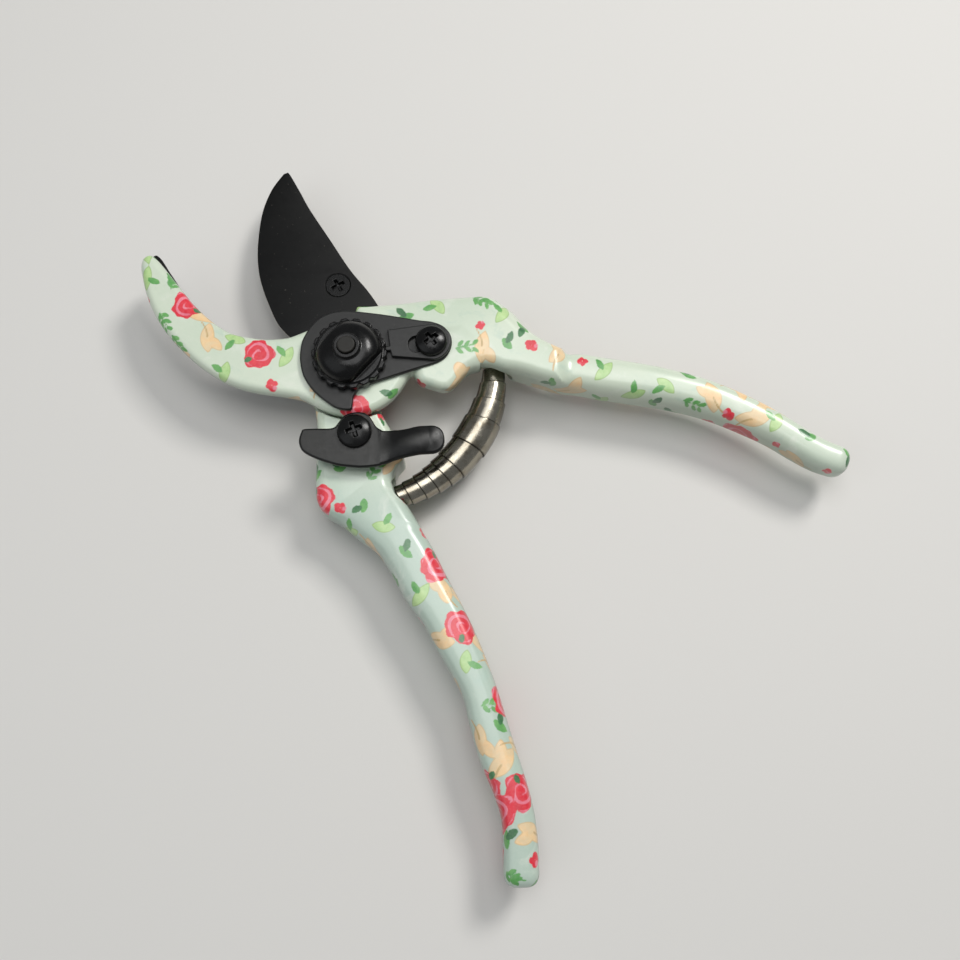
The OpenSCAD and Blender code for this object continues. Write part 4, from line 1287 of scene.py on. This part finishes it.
# ---------------------------------------------------------------- CAD nodes that stay
for node, material in (("counter_blade_rivets", mat_steel), ("pivot_bush", mat_bronze),
                       ("thrust_washer", mat_steel), ("latch_washer", mat_steel)):
    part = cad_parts[node]
    part.data.materials.clear()
    part.data.materials.append(material)
    bevel = part.modifiers.new("edge", "BEVEL")
    bevel.width = 0.00005
    bevel.segments = 2
    bevel.limit_method = "ANGLE"
    bevel.angle_limit = math.radians(40)


# ---------------------------------------------------------------- stage, in metres
def studio_floor():
    low, high = cad_box
    centre = ((low[0] + high[0]) / 2, (low[1] + high[1]) / 2, low[2])
    bpy.ops.mesh.primitive_plane_add(size=4, location=centre)
    floor = bpy.context.object
    floor.name = "studio_floor"
    mat = NodeMaterial("pale_floor")
    mat.set(Base_Color=rgb(214, 212, 208), Roughness=0.75)
    mat.bump(mat.noise(scale=120, detail=3, roughness=0.5), strength=0.04, distance=0.0005)
    floor.data.materials.append(mat.material)


def studio_world():
    world = bpy.data.worlds.new("studio")
    bpy.context.scene.world = world
    world.use_nodes = True
    background = world.node_tree.nodes["Background"]
    background.inputs["Color"].default_value = (0.92, 0.96, 1.0, 1)
    background.inputs["Strength"].default_value = 0.24


LIGHT_AIM = (0.03, -0.03, 0.01)


def area_light(name, location, size, power, colour):
    light = bpy.data.lights.new(name, "AREA")
    light.energy, light.color, light.size = power, colour, size
    obj = bpy.data.objects.new(name, light)
    obj.location = location
    obj.rotation_mode = "QUATERNION"
    obj.rotation_quaternion = (Vector(LIGHT_AIM) - Vector(location)).to_track_quat("-Z", "Y")
    bpy.context.scene.collection.objects.link(obj)


# camera place and its axes: right and up in the view, and back towards the viewer
CAMERA_PLACE = (0.0367105, -0.099971, 0.2626)
CAMERA_RIGHT = (0.999979, 0.0, -0.006487)
CAMERA_UP = (0.001691, 0.965432, 0.26065)
CAMERA_BACK = (0.006263, -0.260656, 0.965412)


def studio_camera():
    camera = bpy.data.cameras.new("camera")
    camera.lens = 36
    camera.sensor_width = 36
    camera.sensor_fit = "HORIZONTAL"
    camera.clip_start = 0.01
    camera.clip_end = 10
    obj = bpy.data.objects.new("camera", camera)
    bpy.context.scene.collection.objects.link(obj)
    rows = list(zip(CAMERA_RIGHT, CAMERA_UP, CAMERA_BACK, CAMERA_PLACE))
    obj.matrix_world = Matrix(rows + [(0, 0, 0, 1)])
    bpy.context.scene.camera = obj


studio_floor()
studio_world()
area_light("key", (0.50, 0.45, 0.75), size=0.26, power=5.4, colour=(1.0, 0.985, 0.96))
area_light("fill", (-0.45, -0.25, 0.60), size=0.60, power=0.8, colour=(0.93, 0.97, 1.0))
area_light("top", (0.05, 0.10, 0.85), size=0.50, power=2.7, colour=(1, 1, 1))
studio_camera()
bpy.context.scene.view_settings.view_transform = "Standard"
